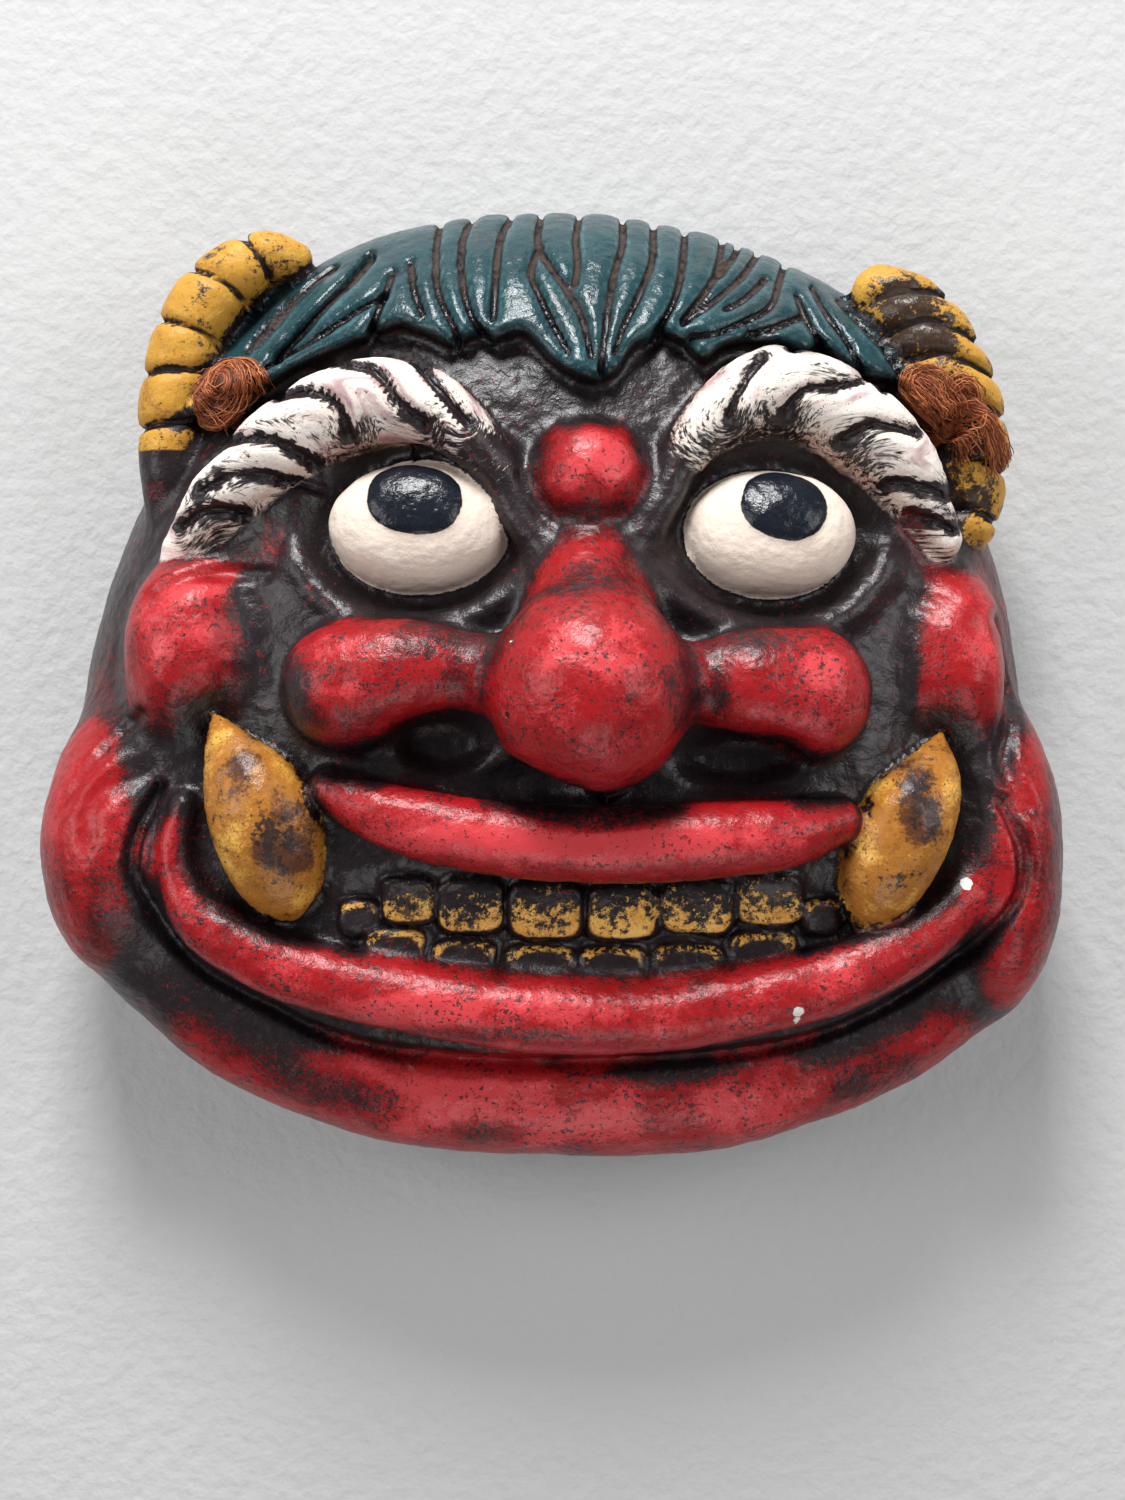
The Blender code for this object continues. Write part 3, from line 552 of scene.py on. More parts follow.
    lower_lip: Route = (
        (-100, -33, 3, 3.5), (-102.5, -48, 4, 5.5), (-96, -63, 5, 7.5), (-82, -72.5, 5, 8.5),
        (-64, -79.5, 5, 9), (-18, -88.5, 5, 10), (28, -90, 5, 10), (71, -82.5, 5, 9.5),
        (92, -74, 5, 9), (108, -64, 4, 8), (119, -51, 3, 7), (122, -38, 2, 5.5), (118, -26, 1, 3.5),
    )  # fmt: skip
    jaw: Route = (
        (-108, -80, -14, 15), (-87, -96, -13, 17), (-60, -107, -12, 18), (-27, -113, -11, 19),
        (38, -114, -11, 19), (68, -108, -12, 18), (96, -97, -13, 18), (119, -82, -14, 17),
    )  # fmt: skip
    left_fang: Route = (
        (-91, -9, 2, 1.5), (-85, -21, 4, 8.5), (-78, -35, 5, 14.5), (-74, -49, 3, 12.5), (-72, -58, 1, 7),
    )  # fmt: skip
    right_fang: Route = (
        (107, -14, 2, 1.5), (103, -27, 4, 9), (96.5, -38, 5, 13), (91, -50, 3, 12.5), (87, -62, 1, 6),
    )  # fmt: skip
    upper_teeth: Route = (
        (-38.6, -58.5, 7.4, 6.2), (-21.4, -60.0, 9.0, 7.4), (-1.2, -61.2, 9.9, 7.8), (19.4, -61.6, 9.6, 7.8),
        (40.0, -60.5, 9.8, 7.6), (59.8, -58.8, 9.0, 7.0),
    )  # fmt: skip
    lower_teeth: Route = (
        (-52, -63.5, 5.2, 4.6), (74, -63.5, 5.2, 5.0), (-42, -72.0, 8.6, 5.2), (-23.5, -75.2, 9.2, 5.4),
        (-3.0, -76.6, 9.9, 5.4), (17.0, -77.0, 9.4, 5.4), (37.5, -76.4, 9.8, 5.4), (58.0, -73.2, 9.4, 5.4),
    )  # fmt: skip
    chips: Route = ((113.6, -54.5, 1.7), (66.7, -88.2, 1.5), (66.2, -91.0, 0.8), (-9.5, 10.0, 0.7))

    @cached_property
    def eyeballs(self) -> tuple[Ball, Ball]:
        """Both eyeballs."""
        return Ball(-35.7, 42.5, -5, (24.5, 17.8, 14), 0.6), Ball(60, 41, -5, (23.4, 17.3, 14), 0.6)

    @cached_property
    def pupils(self) -> tuple[Pad, Pad]:
        """Both pupils, raised a little from the eyeballs."""
        return (
            Pad(-36.2, 49.0, (12.4, 9.4), -0.9, 1.6, 2.3, -8.0),
            Pad(62.6, 47.6, (11.4, 9.2), -0.9, 1.6, 2.2, -14.0),
        )

    @cached_property
    def horns(self) -> tuple[Roll, Roll]:
        """Both horns, curving up beside the hair."""
        return Roll(self.left_horn, 3.0, above_rim=True), Roll(self.right_horn, 3.0, above_rim=True)

    @cached_property
    def brows(self) -> tuple[Roll, Roll]:
        """Both brows."""
        return Roll(self.left_brow, 4.0), Roll(self.right_brow, 4.0)

    @cached_property
    def fangs(self) -> tuple[Roll, Roll]:
        """Both fangs."""
        return Roll(self.left_fang, 1.2, flat=0.75), Roll(self.right_fang, 1.2, flat=0.75)

    @cached_property
    def cheeks(self) -> list[Form]:
        """The cheeks, the jowls and the jaw."""
        return [
            Ball(-99, 9, -5, (19, 27, 19), 8.0),
            Ball(112, 5, -6, (17, 27, 19), 8.0),
            Ball(-122, -45, -8, (22, 37, 28), 14.0),
            Ball(128, -49, -8, (17, 42, 28), 14.0),
            Roll(self.jaw, 9.0),
        ]

    @cached_property
    def nose(self) -> list[Form]:
        """The forehead's wart, the bridge, the round tip and the two wings."""
        return [
            Ball(10.5, 56, -1, (15.5, 14.5, 14), 5.0),
            Roll(((10.5, 38, -3, 8), (10.5, 24, 3, 14), (10.5, 10, 8, 20)), 7.0),
            Roll(self.left_nostril, 5.0),
            Roll(self.right_nostril, 5.0),
            Ball(10.5, -3, 16, (27, 27, 26), 6.0),
        ]

    @cached_property
    def lips(self) -> list[Form]:
        """The upper and the lower lip."""
        return [Roll(self.upper_lip, 3.5), Roll(self.lower_lip, 3.5)]

    def creases(self) -> list[Form]:
        """The folds drawn between the cheeks, the jowls and the chin."""
        chin = (
            (-107, -28), (-114, -46), (-110, -60), (-99, -77), (-80, -88), (-58, -98), (-28, -103),
            (3, -104.5), (41, -103), (69, -99), (91, -91), (113, -77), (127, -60), (129, -46), (124, -32),
        )  # fmt: skip
        return [
            Groove(((-108, 24), (-93, 30), (-77, 30)), 3.5, 1.8),
            Groove(((-110, -24), (-120, -28), (-125, -33), (-125, -42)), 5.0, 1.4),
            Groove(((-112, -8), (-124, -20), (-133, -34)), 3.0, 0.9),
            Groove(((97, 24), (108, 21), (119, 12)), 5.0, 1.0),
            Groove(((124, 18), (128, -4), (125, -21), (130, -34)), 5.0, 2.5),
            Groove(chin, 3.2, 3.8),
        ]

    def sockets(self) -> list[Form]:
        """The eye sockets and the bags under them."""
        return [
            Roll(((-8, 30, -3, 5), (-22, 20, -2, 5), (-40, 17, -2, 5), (-56, 21, -2, 5),
                    (-67, 33, -3, 5)), 6.0),
            Roll(((27, 27, -3, 5), (45, 19, -2, 5), (62, 16, -2, 5), (79, 20, -2, 5), (90, 33, -3, 5)), 6.0),
            Pad(-36, 42, (29, 23), 7.0, 12.0),
            Pad(60, 40.5, (28, 22.5), 7.0, 12.0),
        ]

    def nostrils(self) -> list[Form]:
        """The frown beside the nose, and the hollows under its wings and tip."""
        return [
            Pad(-29, -16, (12, 7), 7.0, 6.0),
            Pad(51, -20, (15, 7), 7.0, 6.0),
            Pad(-6, -27, (16, 6), 3.0, 8.0),
        ]

    def frown(self) -> list[Form]:
        """The two ridges from the brows to the nose."""
        return [
            Roll(((-14, 60, 0, 5), (-9, 46, 0, 5), (3, 31, 0, 5)), 6.0),
            Roll(((37, 64, 0, 5), (29, 47, 0, 5), (18, 31, 0, 5)), 6.0),
        ]

    def mouth(self) -> list[Form]:
        """The mouth's floor, the teeth, the lips and the fangs in their sockets."""
        teeth = [
            Pad(x, y, (across, up), -4.0, 1.5, 4.5)
            for x, y, across, up in self.upper_teeth + self.lower_teeth
        ]
        sockets = [
            Groove(tuple((x, y) for x, y, _, _ in route), 17.0, 3.5)
            for route in (self.left_fang, self.right_fang)
        ]
        return [Pad(10, -64, (72, 14), 4.0, 9.0, 2.6), *teeth, *sockets, *self.lips, *self.fangs]

    def rings(self) -> list[Form]:
        """The grooves round the horns."""
        return [Groove(route, 1.6, 2.2, 0.6, above=33.0) for route in self.horn_grooves]

    @cached_property
    def carving(self) -> list[Form]:
        """Everything that is done to the blank, in the order in which it is done."""
        brow_lines = [Groove(route, 1.5, 2.2, 0.8) for route in self.brow_grooves]
        locks = [Groove(route, 1.35, 2.2, 0.6) for route in self.lock_grooves]
        locks.append(Groove(self.parting, 2.6, 3.4, 0.6))
        return [
            *self.cheeks, *self.creases(), *self.sockets(), *self.frown(), *self.nose, *self.nostrils(),
            *self.mouth(), *self.brows, *brow_lines, *self.horns, *self.rings(), self.hair, *locks,
            *self.eyeballs, *self.pupils,
        ]  # fmt: skip

    @cached_property
    def hollow(self) -> list[Form]:
        """The one form that the hollow behind the face follows: the nose."""
        return [Ball(10.5, -3, 6, (26, 28, 24), 16.0)]

    def clay(self, points: Points, forms: list[Form]) -> Points:
        """How far points are outside the clay.

        Args:
            points: Places in face units.
            forms: What has been done to the blank.

        Returns:
            One distance for each point, below zero inside the clay.
        """
        clay = BLANK.distance(points)
        for form in forms:
            form.shape(points, clay)
        return clay

    def zones(self, points: Points) -> dict[Zone, Points]:
        """How far each point of the skin is outside each painted zone, below zero inside it.

        Args:
            points: Places on the skin, in face units.

        Returns:
            One array of distances for each zone.
        """
        plan = points[:, :2]
        low = np.full(len(points), 20.0)

        def nearest(forms: list[Form] | tuple[Form, ...]) -> Points:
            """The distance to the nearest of some forms."""
            return np.minimum(low, np.min([form.distance(points) for form in forms], axis=0))

        def nearest_line(routes: tuple[Route, ...]) -> Points:
            """The distance on the plan to the nearest of some lines."""
            return np.min([line_distance(plan, through_points(route, 5)) for route in routes], axis=0)

        left, right = (horn.distance(points) for horn in self.horns)
        horn = np.minimum(
            np.maximum(left, self.horns_painted_above[0] - points[:, 1]),
            np.maximum(right, self.horns_painted_above[1] - points[:, 1]),
        )
        found = {
            Zone.RED: nearest([*self.cheeks, *self.nose, *self.lips]),
            Zone.HAIR: self.hair.side(points),
            Zone.HORN: horn,
            Zone.BROW: nearest(self.brows),
            Zone.EYE: nearest(self.eyeballs),
            Zone.PUPIL: np.min([pupil.rim(points) for pupil in self.pupils], axis=0),
            Zone.FANG: nearest(self.fangs),
            Zone.CHIP: np.min(
                [np.linalg.norm(plan - chip[:2], axis=1) - chip[2] for chip in self.chips], axis=0
            ),
        }
        for zone, teeth in ((Zone.UPPER_TOOTH, self.upper_teeth), (Zone.LOWER_TOOTH, self.lower_teeth)):
            pads = [Pad(x, y, (across, up), 0.0, 1.0, 4.5) for x, y, across, up in teeth]
            rims = np.array([pad.rim(points) for pad in pads])
            found[zone] = np.minimum(low, rims.min(axis=0))
            drop = np.array([(pad.up - points[:, 1]) / pad.half[1] for pad in pads])
            drop = np.take_along_axis(drop, rims.argmin(axis=0)[None, :], axis=0)[0]
            if zone is Zone.UPPER_TOOTH:
                found[Zone.GILT] = drop
            else:
                found[zone] = np.abs(found[zone] + 1.1) + np.maximum(0.0, drop + 0.35) * 3.0
        lines = np.full(len(points), 20.0)
        in_hair, on_horn, on_brow = found[Zone.HAIR] < 0.5, horn < 1.5, found[Zone.BROW] < 2.5
        lines[on_brow] = nearest_line(self.brow_grooves)[on_brow]
        lines[in_hair] = nearest_line((*self.lock_grooves, self.parting))[in_hair]
        lines[on_horn] = nearest_line(self.horn_grooves)[on_horn]
        found[Zone.LINE] = lines
        return found


@dataclass(frozen=True)
class PaintPlan:
    """Where the red was brushed on thick or thin over the charcoal, and where it caught the light.

    Attributes:
        smudges: Where the red covers more or less than it does by the shape alone.
        lights: Patches where the red is painted lighter, as painted highlights, and darker, as painted shade.
        grime: Where the paint is darker: dirt and worn paint, and the brows' undersides and tails.
    """

    smudges: tuple[Smudge, ...] = (
        # Charcoal left bare: between the eyes and wings, beside the nose, at the cheeks and the chin.
        Smudge(-29, 14, 16, 8, -0.35, 20), Smudge(46, 13, 16, 8, -0.4, -20), Smudge(-72, 22, 16, 8, -0.7),
        Smudge(-70, -8, 9, 16, -0.8), Smudge(92, -2, 8, 20, -0.8), Smudge(-104, -24, 14, 12, -0.8, 20),
        Smudge(-112, -68, 14, 22, -0.45, 35), Smudge(-78, -98, 22, 9, -0.5, -18),
        Smudge(34, -107, 22, 4, -0.5), Smudge(86, -98, 20, 6, -0.5, 20),
        Smudge(-17, 10, 9, 6, -0.35), Smudge(33, -4, 6, 12, -0.35),
        Smudge(120, -22, 8, 14, -0.4), Smudge(-134, 44, 14, 26, -0.3), Smudge(-58, 2, 10, 4, -0.35, 10),
        Smudge(66, 10, 12, 4, -0.3, -10), Smudge(-24, -4, 4, 12, -0.3), Smudge(14, 30, 13, 5, -0.35),
        Smudge(-100, -8, 10, 6, -0.3), Smudge(6, -41, 50, 6, 0.3), Smudge(-24, -94, 40, 2, -0.3),
        # Red brushed on beyond the raised forms.
        Smudge(-92, 30, 14, 6, 0.65, 18), Smudge(-76, 40, 5, 8, 0.5), Smudge(104, 36, 6, 20, 0.6, 30),
        Smudge(-26, 97, 12, 3, 0.5, 8), Smudge(44, 93, 12, 3, 0.6), Smudge(-112, 55, 5, 4, 0.5),
        Smudge(10, 37, 12, 8, 0.25), Smudge(-133, -20, 12, 40, 0.35), Smudge(140, -14, 10, 40, 0.35),
        Smudge(-6, -105, 52, 7, 0.75), Smudge(-124, -6, 8, 30, 0.3), Smudge(127, 24, 9, 30, 0.65),
        Smudge(-60, -101, 24, 6, 0.45, -14), Smudge(62, -102, 24, 6, 0.4, 14), Smudge(-29, 22, 16, 5, 0.2),
        # Worn through along the jaw.
        Smudge(-112, -86, 16, 12, -0.45, -35), Smudge(-62, -113, 22, 6, -0.4, -10),
        Smudge(92, -110, 18, 6, -0.4, 20), Smudge(-20, -124, 14, 4, -0.3),
        Smudge(-136, -52, 8, 10, -0.4), Smudge(-92, -20, 7, 8, -0.3),
    )  # fmt: skip
    lights: tuple[Smudge, ...] = (
        Smudge(10.5, 9, 14, 12, 0.3), Smudge(-56, 6, 12, 8, 0.35), Smudge(68, 6, 12, 8, 0.2),
        Smudge(-101, 18, 12, 12, 0.3), Smudge(12, 58, 10, 9, 0.3), Smudge(8, -42, 52, 6, 0.4),
        Smudge(-126, -30, 10, 22, -0.12), Smudge(138, -46, 10, 30, -0.35), Smudge(-30, -86, 40, 4, 0.2),
        Smudge(6, -118, 70, 10, 0.45), Smudge(0, -88, 60, 7, 0.25),
    )  # fmt: skip

    grime: tuple[Smudge, ...] = (
        Smudge(-45, 70, 10, 5, 0.5, 15), Smudge(-88, 60, 10, 5, 0.4, 35), Smudge(66, 72, 8, 4, 0.35),
        # The right horn's inner side and root, the left horn's tip and root.
        Smudge(97, 104, 10, 14, 0.85), Smudge(108, 84, 9, 22, 0.8), Smudge(116, 60, 9, 18, 0.7),
        Smudge(112, 100, 12, 8, 0.45), Smudge(124, 74, 10, 5, 0.4), Smudge(122, 52, 10, 5, 0.5),
        Smudge(102, 111, 12, 5, 0.5), Smudge(-79, 121, 8, 8, 0.55), Smudge(-98, 84, 5, 34, 0.45),
        Smudge(-108, 68, 12, 5, 0.4),
        # The fangs' middles, and the ends of the row of teeth.
        Smudge(-71, -42, 9, 12, 0.75), Smudge(-82, -26, 6, 10, 0.3), Smudge(99, -32, 7, 15, 0.75, 12),
        Smudge(93, -52, 8, 6, 0.4), Smudge(-38, -58, 9, 9, 0.7), Smudge(60, -58, 9, 8, 0.35),
        # The brows' undersides and tails, where the cream is thinner and darker.
        Smudge(-58, 64, 14, 6, 0.6, 10), Smudge(-34, 66, 8, 10, 0.5), Smudge(-94, 46, 14, 8, 0.75, 40),
        Smudge(-14, 57, 12, 13, 1.4), Smudge(-26, 66, 8, 10, 0.6, 40), Smudge(38, 61, 8, 8, 0.5),
        Smudge(-72, 70, 9, 4, 0.45, 15), Smudge(60, 68, 12, 7, 0.55, -10), Smudge(86, 64, 15, 8, 0.65, -35),
        Smudge(105, 49, 9, 10, 0.7), Smudge(46, 68, 6, 9, 0.4), Smudge(74, 84, 10, 4, 0.4, -15),
    )  # fmt: skip

    def lay(self, points: Points, upright: Points, zones: dict[Zone, Points]) -> None:
        """Adds how well the red covers, and its painted light and shade, to the zones.

        Args:
            points: Places on the skin, in face units.
            upright: How far the skin faces the front there, from -1 to 1.
            zones: The zones' distances and openness, which this adds to.
        """
        on_form = ease(zones[Zone.RED], 3.2, -0.4)
        held = 0.25 + 0.75 * ease(zones[Zone.WIDE], 0.28, 0.84)
        # Less red right under the fringe, so the charcoal shows: a painted shadow of the hair.
        cover = on_form * held + 0.06 - 0.5 * ease(zones[Zone.HAIR], 9.0, 1.0)
        for patch in self.smudges:
            cover += patch.over(points)
        # Painted light and shade: the red is lighter on open places that face the front, darker in hollows,
        # and the lights patches add painted highlights and shade.
        light = 0.28 + 0.30 * ease(zones[Zone.WIDE], 0.7, 1.05) * ease(upright, 0.1, 0.95)
        for patch in self.lights:
            light += patch.over(points)
        grime = np.zeros(len(points))
        for patch in self.grime:
            grime += patch.over(points)
        zones[Zone.COVER], zones[Zone.LIGHT], zones[Zone.GRIME] = cover, light, grime


@dataclass
class PlasterMask:
    """The cast shell: a fine skin over the face, a plainer hollow behind it, and the rim between.

    Attributes:
        frame: Where face units lie in the model's frame.
        face: The modelled face.
        plan: How the red was brushed on.
        front_cells: The coarse net's cells across the front, which are halved once.
        hollow_cells: The net's cells across the hollow.
        wall: The plaster's thickness, in face units.
        evening_rounds: How often the coarse net is spread evenly.
        close_enough: How near to its level a point has to settle, in face units.
        clear_of_clay: How far back points start from the blank's surface, in face units.
        settling_rounds: The most steps that a point takes to settle.
        settling_pace: The share of its gap that a point closes in one step.
        near_reach: How far above the skin the openness of narrow places is measured.
        wide_reach: How far above the skin the openness of wide places is measured.
        drill_length: The drills' length, in face units.
        drill_sides: How many flats the drilled holes have.
        left_hole: Where the left hole comes out, beyond the surface.
        right_hole: Where the right hole comes out, beyond the surface.
    """

    frame: FaceFrame
    face: DemonFace
    plan: PaintPlan
    front_cells: int = 148
    hollow_cells: int = 74
    wall: float = 11.0
    evening_rounds: int = 6
    close_enough: float = 0.02
    clear_of_clay: float = 55.0
    settling_rounds: int = 60
    settling_pace: float = 0.6
    near_reach: float = 3.0
    wide_reach: float = 12.0
    drill_length: float = 60.0
    drill_sides: int = 20
    left_hole: tuple[float, float, float] = (-90.0, 76.0, 53.0)
    right_hole: tuple[float, float, float] = (110.0, 71.0, 46.0)

    def settle(self, points: Points, ways: Points, forms: list[Form], level: float) -> Points:
        """Moves points along their ways until they lie at a level above the clay.

        Args:
            points: Where they start, in face units.
            ways: Each point's direction.
            forms: What has been done to the blank.
            level: How far above the clay they come to lie.

        Returns:
            Where they come to lie.
        """
        travel = np.full(len(points), -self.clear_of_clay)
        moving = np.arange(len(points))
        for _ in range(self.settling_rounds):
            gaps = self.face.clay(points[moving] + ways[moving] * travel[moving, None], forms) - level
            travel[moving] += self.settling_pace * gaps
            moving = moving[np.abs(gaps) > self.close_enough]
            if not len(moving):
                break
        return points + ways * travel[:, None]

    def press(
        self, sheet: bmesh.types.BMesh, verts: list, forms: list[Form], level: float, rounds: int
    ) -> None:
        """Presses points onto the clay along the sheet's own normals.

        Args:
            sheet: The sheet that the points belong to.
            verts: The points that move.
            forms: What has been done to the blank.
            level: How far above the clay they come to lie.
            rounds: How often they are moved.
        """
        sheet.normal_update()
        places = np.array([vert.co for vert in verts])
        outwards = np.array([vert.normal for vert in verts])
        edge = np.array([vert.is_boundary for vert in verts])
        flat = places[edge] * [1.0, 1.0, 0.0]
        outwards[edge] = flat / np.linalg.norm(flat, axis=1)[:, None]
        for _ in range(rounds):
            places -= outwards * (self.face.clay(places, forms) - level)[:, None] * 0.8
        places[~edge, 2] = np.maximum(places[~edge, 2], 0.15)
        for vert, place in zip(verts, places):
            vert.co = place

    def even_out(self, sheet: bmesh.types.BMesh, forms: list[Form], level: float, rounds: int) -> None:
        """Spreads a sheet's points evenly over the clay, so that steep sides get their share.

        Args:
            sheet: The sheet.
            forms: What has been done to the blank.
            level: How far above the clay the sheet lies.
            rounds: How often its points are spread and pressed.
        """
        free = [vert for vert in sheet.verts if not vert.is_boundary]
        for _ in range(rounds):
            bmesh.ops.smooth_vert(
                sheet, verts=free, factor=0.5, use_axis_x=True, use_axis_y=True, use_axis_z=True
            )
            self.press(sheet, free, forms, level, 2)

    def front(self) -> bmesh.types.BMesh:
        """The sheet over the face, in face units."""
        sheet = bmesh.new()
        cells = self.front_cells
        verts = bmesh.ops.create_grid(sheet, x_segments=cells, y_segments=cells, size=1.0)["verts"]
        forms = self.face.carving
        points, ways = BLANK.net(np.array([vert.co[:2] for vert in verts]))
        for vert, place in zip(verts, self.settle(points, ways, forms, 0.0)):
            vert.co = place
        self.even_out(sheet, forms, 0.0, self.evening_rounds)
        bmesh.ops.subdivide_edges(sheet, edges=sheet.edges, cuts=1, use_grid_fill=True)
        self.press(sheet, list(sheet.verts), forms, 0.0, 3)
        self.even_out(sheet, forms, 0.0, 2)
        return sheet

    def behind(self) -> bmesh.types.BMesh:
        """The sheet of the hollow, in face units, with as many points round its edge as the front."""
        sheet = bmesh.new()
        bmesh.ops.create_grid(sheet, x_segments=self.hollow_cells, y_segments=self.hollow_cells, size=1.0)
        cuts = 2 * self.front_cells // self.hollow_cells - 1
        edge = [side for side in sheet.edges if side.is_boundary]
        bmesh.ops.subdivide_edges(sheet, edges=edge, cuts=cuts)
        points, ways = BLANK.net(np.array([vert.co[:2] for vert in sheet.verts]))
        for vert, place in zip(sheet.verts, self.settle(points, ways, self.face.hollow, -self.wall)):
            vert.co = place
        self.even_out(sheet, self.face.hollow, -self.wall, self.evening_rounds)
        return sheet

    def hand_marks(self, sheet: bmesh.types.BMesh) -> None:
        """Presses the slight unevenness of hand work into the front."""
        sheet.normal_update()
        for vert in sheet.verts:
            if vert.is_boundary:
                continue
            broad = noise.fractal(vert.co * 0.055, 1.0, 2.0, 3)
            fine = noise.noise(vert.co * 0.35)
            vert.co += vert.normal * (0.45 * broad + 0.14 * fine)

    def shell(self) -> bpy.types.Mesh:
        """Joins the front and the hollow at their rims.

        Returns:
            The closed shell, in metres, with material 0 on the front and 1 behind.
        """
        shell = self.front()
        self.hand_marks(shell)
        hollow = self.behind()
        for face in hollow.faces:
            face.material_index = 1
        mesh = bpy.data.meshes.new("mask_shell")
        hollow.to_mesh(mesh)
        hollow.free()
        outer = self.rim_in_order(shell, list(shell.verts))
        front_count = len(shell.verts)
        shell.from_mesh(mesh)
        shell.verts.ensure_lookup_table()
        inner = self.rim_in_order(shell, list(shell.verts)[front_count:])
        start = min(range(len(inner)), key=lambda index: (inner[index].co - outer[0].co).length)
        inner = inner[start:] + inner[:start]
        for index, vert in enumerate(outer):
            after = (index + 1) % len(outer)
            band = shell.faces.new((vert, outer[after], inner[after], inner[index]))
            band.material_index = 1
        bmesh.ops.recalc_face_normals(shell, faces=shell.faces)
        bmesh.ops.triangulate(shell, faces=[face for face in shell.faces if len(face.verts) > 4])
        bmesh.ops.scale(shell, verts=shell.verts, vec=Vector((self.frame.unit,) * 3))
        bmesh.ops.translate(shell, verts=shell.verts, vec=Vector(self.frame.middle))
        shell.to_mesh(mesh)
        shell.free()
        return mesh

    @staticmethod
    def rim_in_order(shell: bmesh.types.BMesh, verts: list) -> list:
        """The points on a sheet's edge, in order round it."""
        edge = [vert for vert in verts if vert.is_boundary]
        return sorted(edge, key=lambda vert: math.atan2(vert.co.y, vert.co.x))

    def hole_mouth(self, hole: tuple[float, float, float]) -> tuple[Vector, Vector]:
        """Where a hole for the cord opens on the face.

        Args:
            hole: A place near the surface, in face units.

        Returns:
            The mouth's middle in face units, and the way straight out of it.
        """
        way = BLANK.outwards(hole)
        start = np.array([hole]) + 20.0 * np.array(way)
        mouth = self.settle(start, -np.array([way]), self.face.carving, 0.0)[0]
        return Vector(mouth), way

    def drill(self, number: int, hole: tuple[float, float, float]) -> bpy.types.Object:
        """A round drill set right through the wall where the cord comes out."""
        bit = bmesh.new()
        radius = CORD_HOLE_DIAMETER / 2
        bmesh.ops.create_cone(
            bit, cap_ends=True, segments=self.drill_sides, radius1=radius, radius2=radius,
            depth=self.drill_length * self.frame.unit,
        )  # fmt: skip
        mouth, way = self.hole_mouth(hole)
        place = Vector(self.frame.to_model(np.array(mouth)))
        turn = way.to_track_quat("Z", "Y").to_matrix().to_4x4()
        bmesh.ops.transform(bit, matrix=Matrix.Translation(place) @ turn, verts=bit.verts)
        for face in bit.faces:
            face.material_index = 1
        mesh = bpy.data.meshes.new(f"drill_{number}")
        bit.to_mesh(mesh)
        bit.free()
        tool = bpy.data.objects.new(mesh.name, mesh)
        bpy.context.scene.collection.objects.link(tool)
        return tool

    def bored(self, mesh: bpy.types.Mesh) -> bpy.types.Mesh:
        """The shell with both holes for the cord drilled through it."""
        blank = bpy.data.objects.new("mask_blank", mesh)
        bpy.context.scene.collection.objects.link(blank)
        tools = [self.drill(number, hole) for number, hole in enumerate((self.left_hole, self.right_hole))]
        for tool in tools:
            boolean = blank.modifiers.new(tool.name, "BOOLEAN")
            boolean.operation = "DIFFERENCE"
            boolean.solver = "EXACT"
            boolean.object = tool
        bpy.context.view_layer.update()
        depsgraph = bpy.context.evaluated_depsgraph_get()
        whole = bpy.data.meshes.new_from_object(blank.evaluated_get(depsgraph))
        for spare in (blank, *tools):
            bpy.data.objects.remove(spare, do_unlink=True)
        return whole

    def mark_zones(self, mesh: bpy.types.Mesh) -> None:
        """Writes each zone's distances, the openness and the paint plan onto the mesh's points."""
        count = len(mesh.vertices)
        places, normals = np.empty(count * 3), np.empty(count * 3)
        mesh.vertices.foreach_get("co", places)
        mesh.vertex_normals.foreach_get("vector", normals)
        points, normals = self.frame.to_face(places.reshape(-1, 3)), normals.reshape(-1, 3)
        zones = self.face.zones(points)
        for zone, lift in ((Zone.OPEN, self.near_reach), (Zone.WIDE, self.wide_reach)):
            zones[zone] = np.clip(self.face.clay(points + normals * lift, self.face.carving) / lift, 0.0, 1.5)
        self.plan.lay(points, normals[:, 2], zones)
        for zone, values in zones.items():
            attribute = mesh.attributes.new(zone.value, "FLOAT", "POINT")
            attribute.data.foreach_set("value", values.astype(np.float32))

    def build(self, painted: bpy.types.Material, bare: bpy.types.Material) -> bpy.types.Object:
        """Builds the mask.

        Args:
            painted: The finish of the face.
            bare: The finish of the hollow and the rim.

        Returns:
            The finished object, in place of the CAD's mask.
        """
        mesh = self.bored(self.shell())
        mesh.shade_smooth()
        self.mark_zones(mesh)
        mesh.materials.clear()
        mesh.materials.append(painted)
        mesh.materials.append(bare)
        mask = bpy.data.objects.new("carved_mask", mesh)
        bpy.context.scene.collection.objects.link(mask)
        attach(mask, "root")
        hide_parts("mask")
        return mask


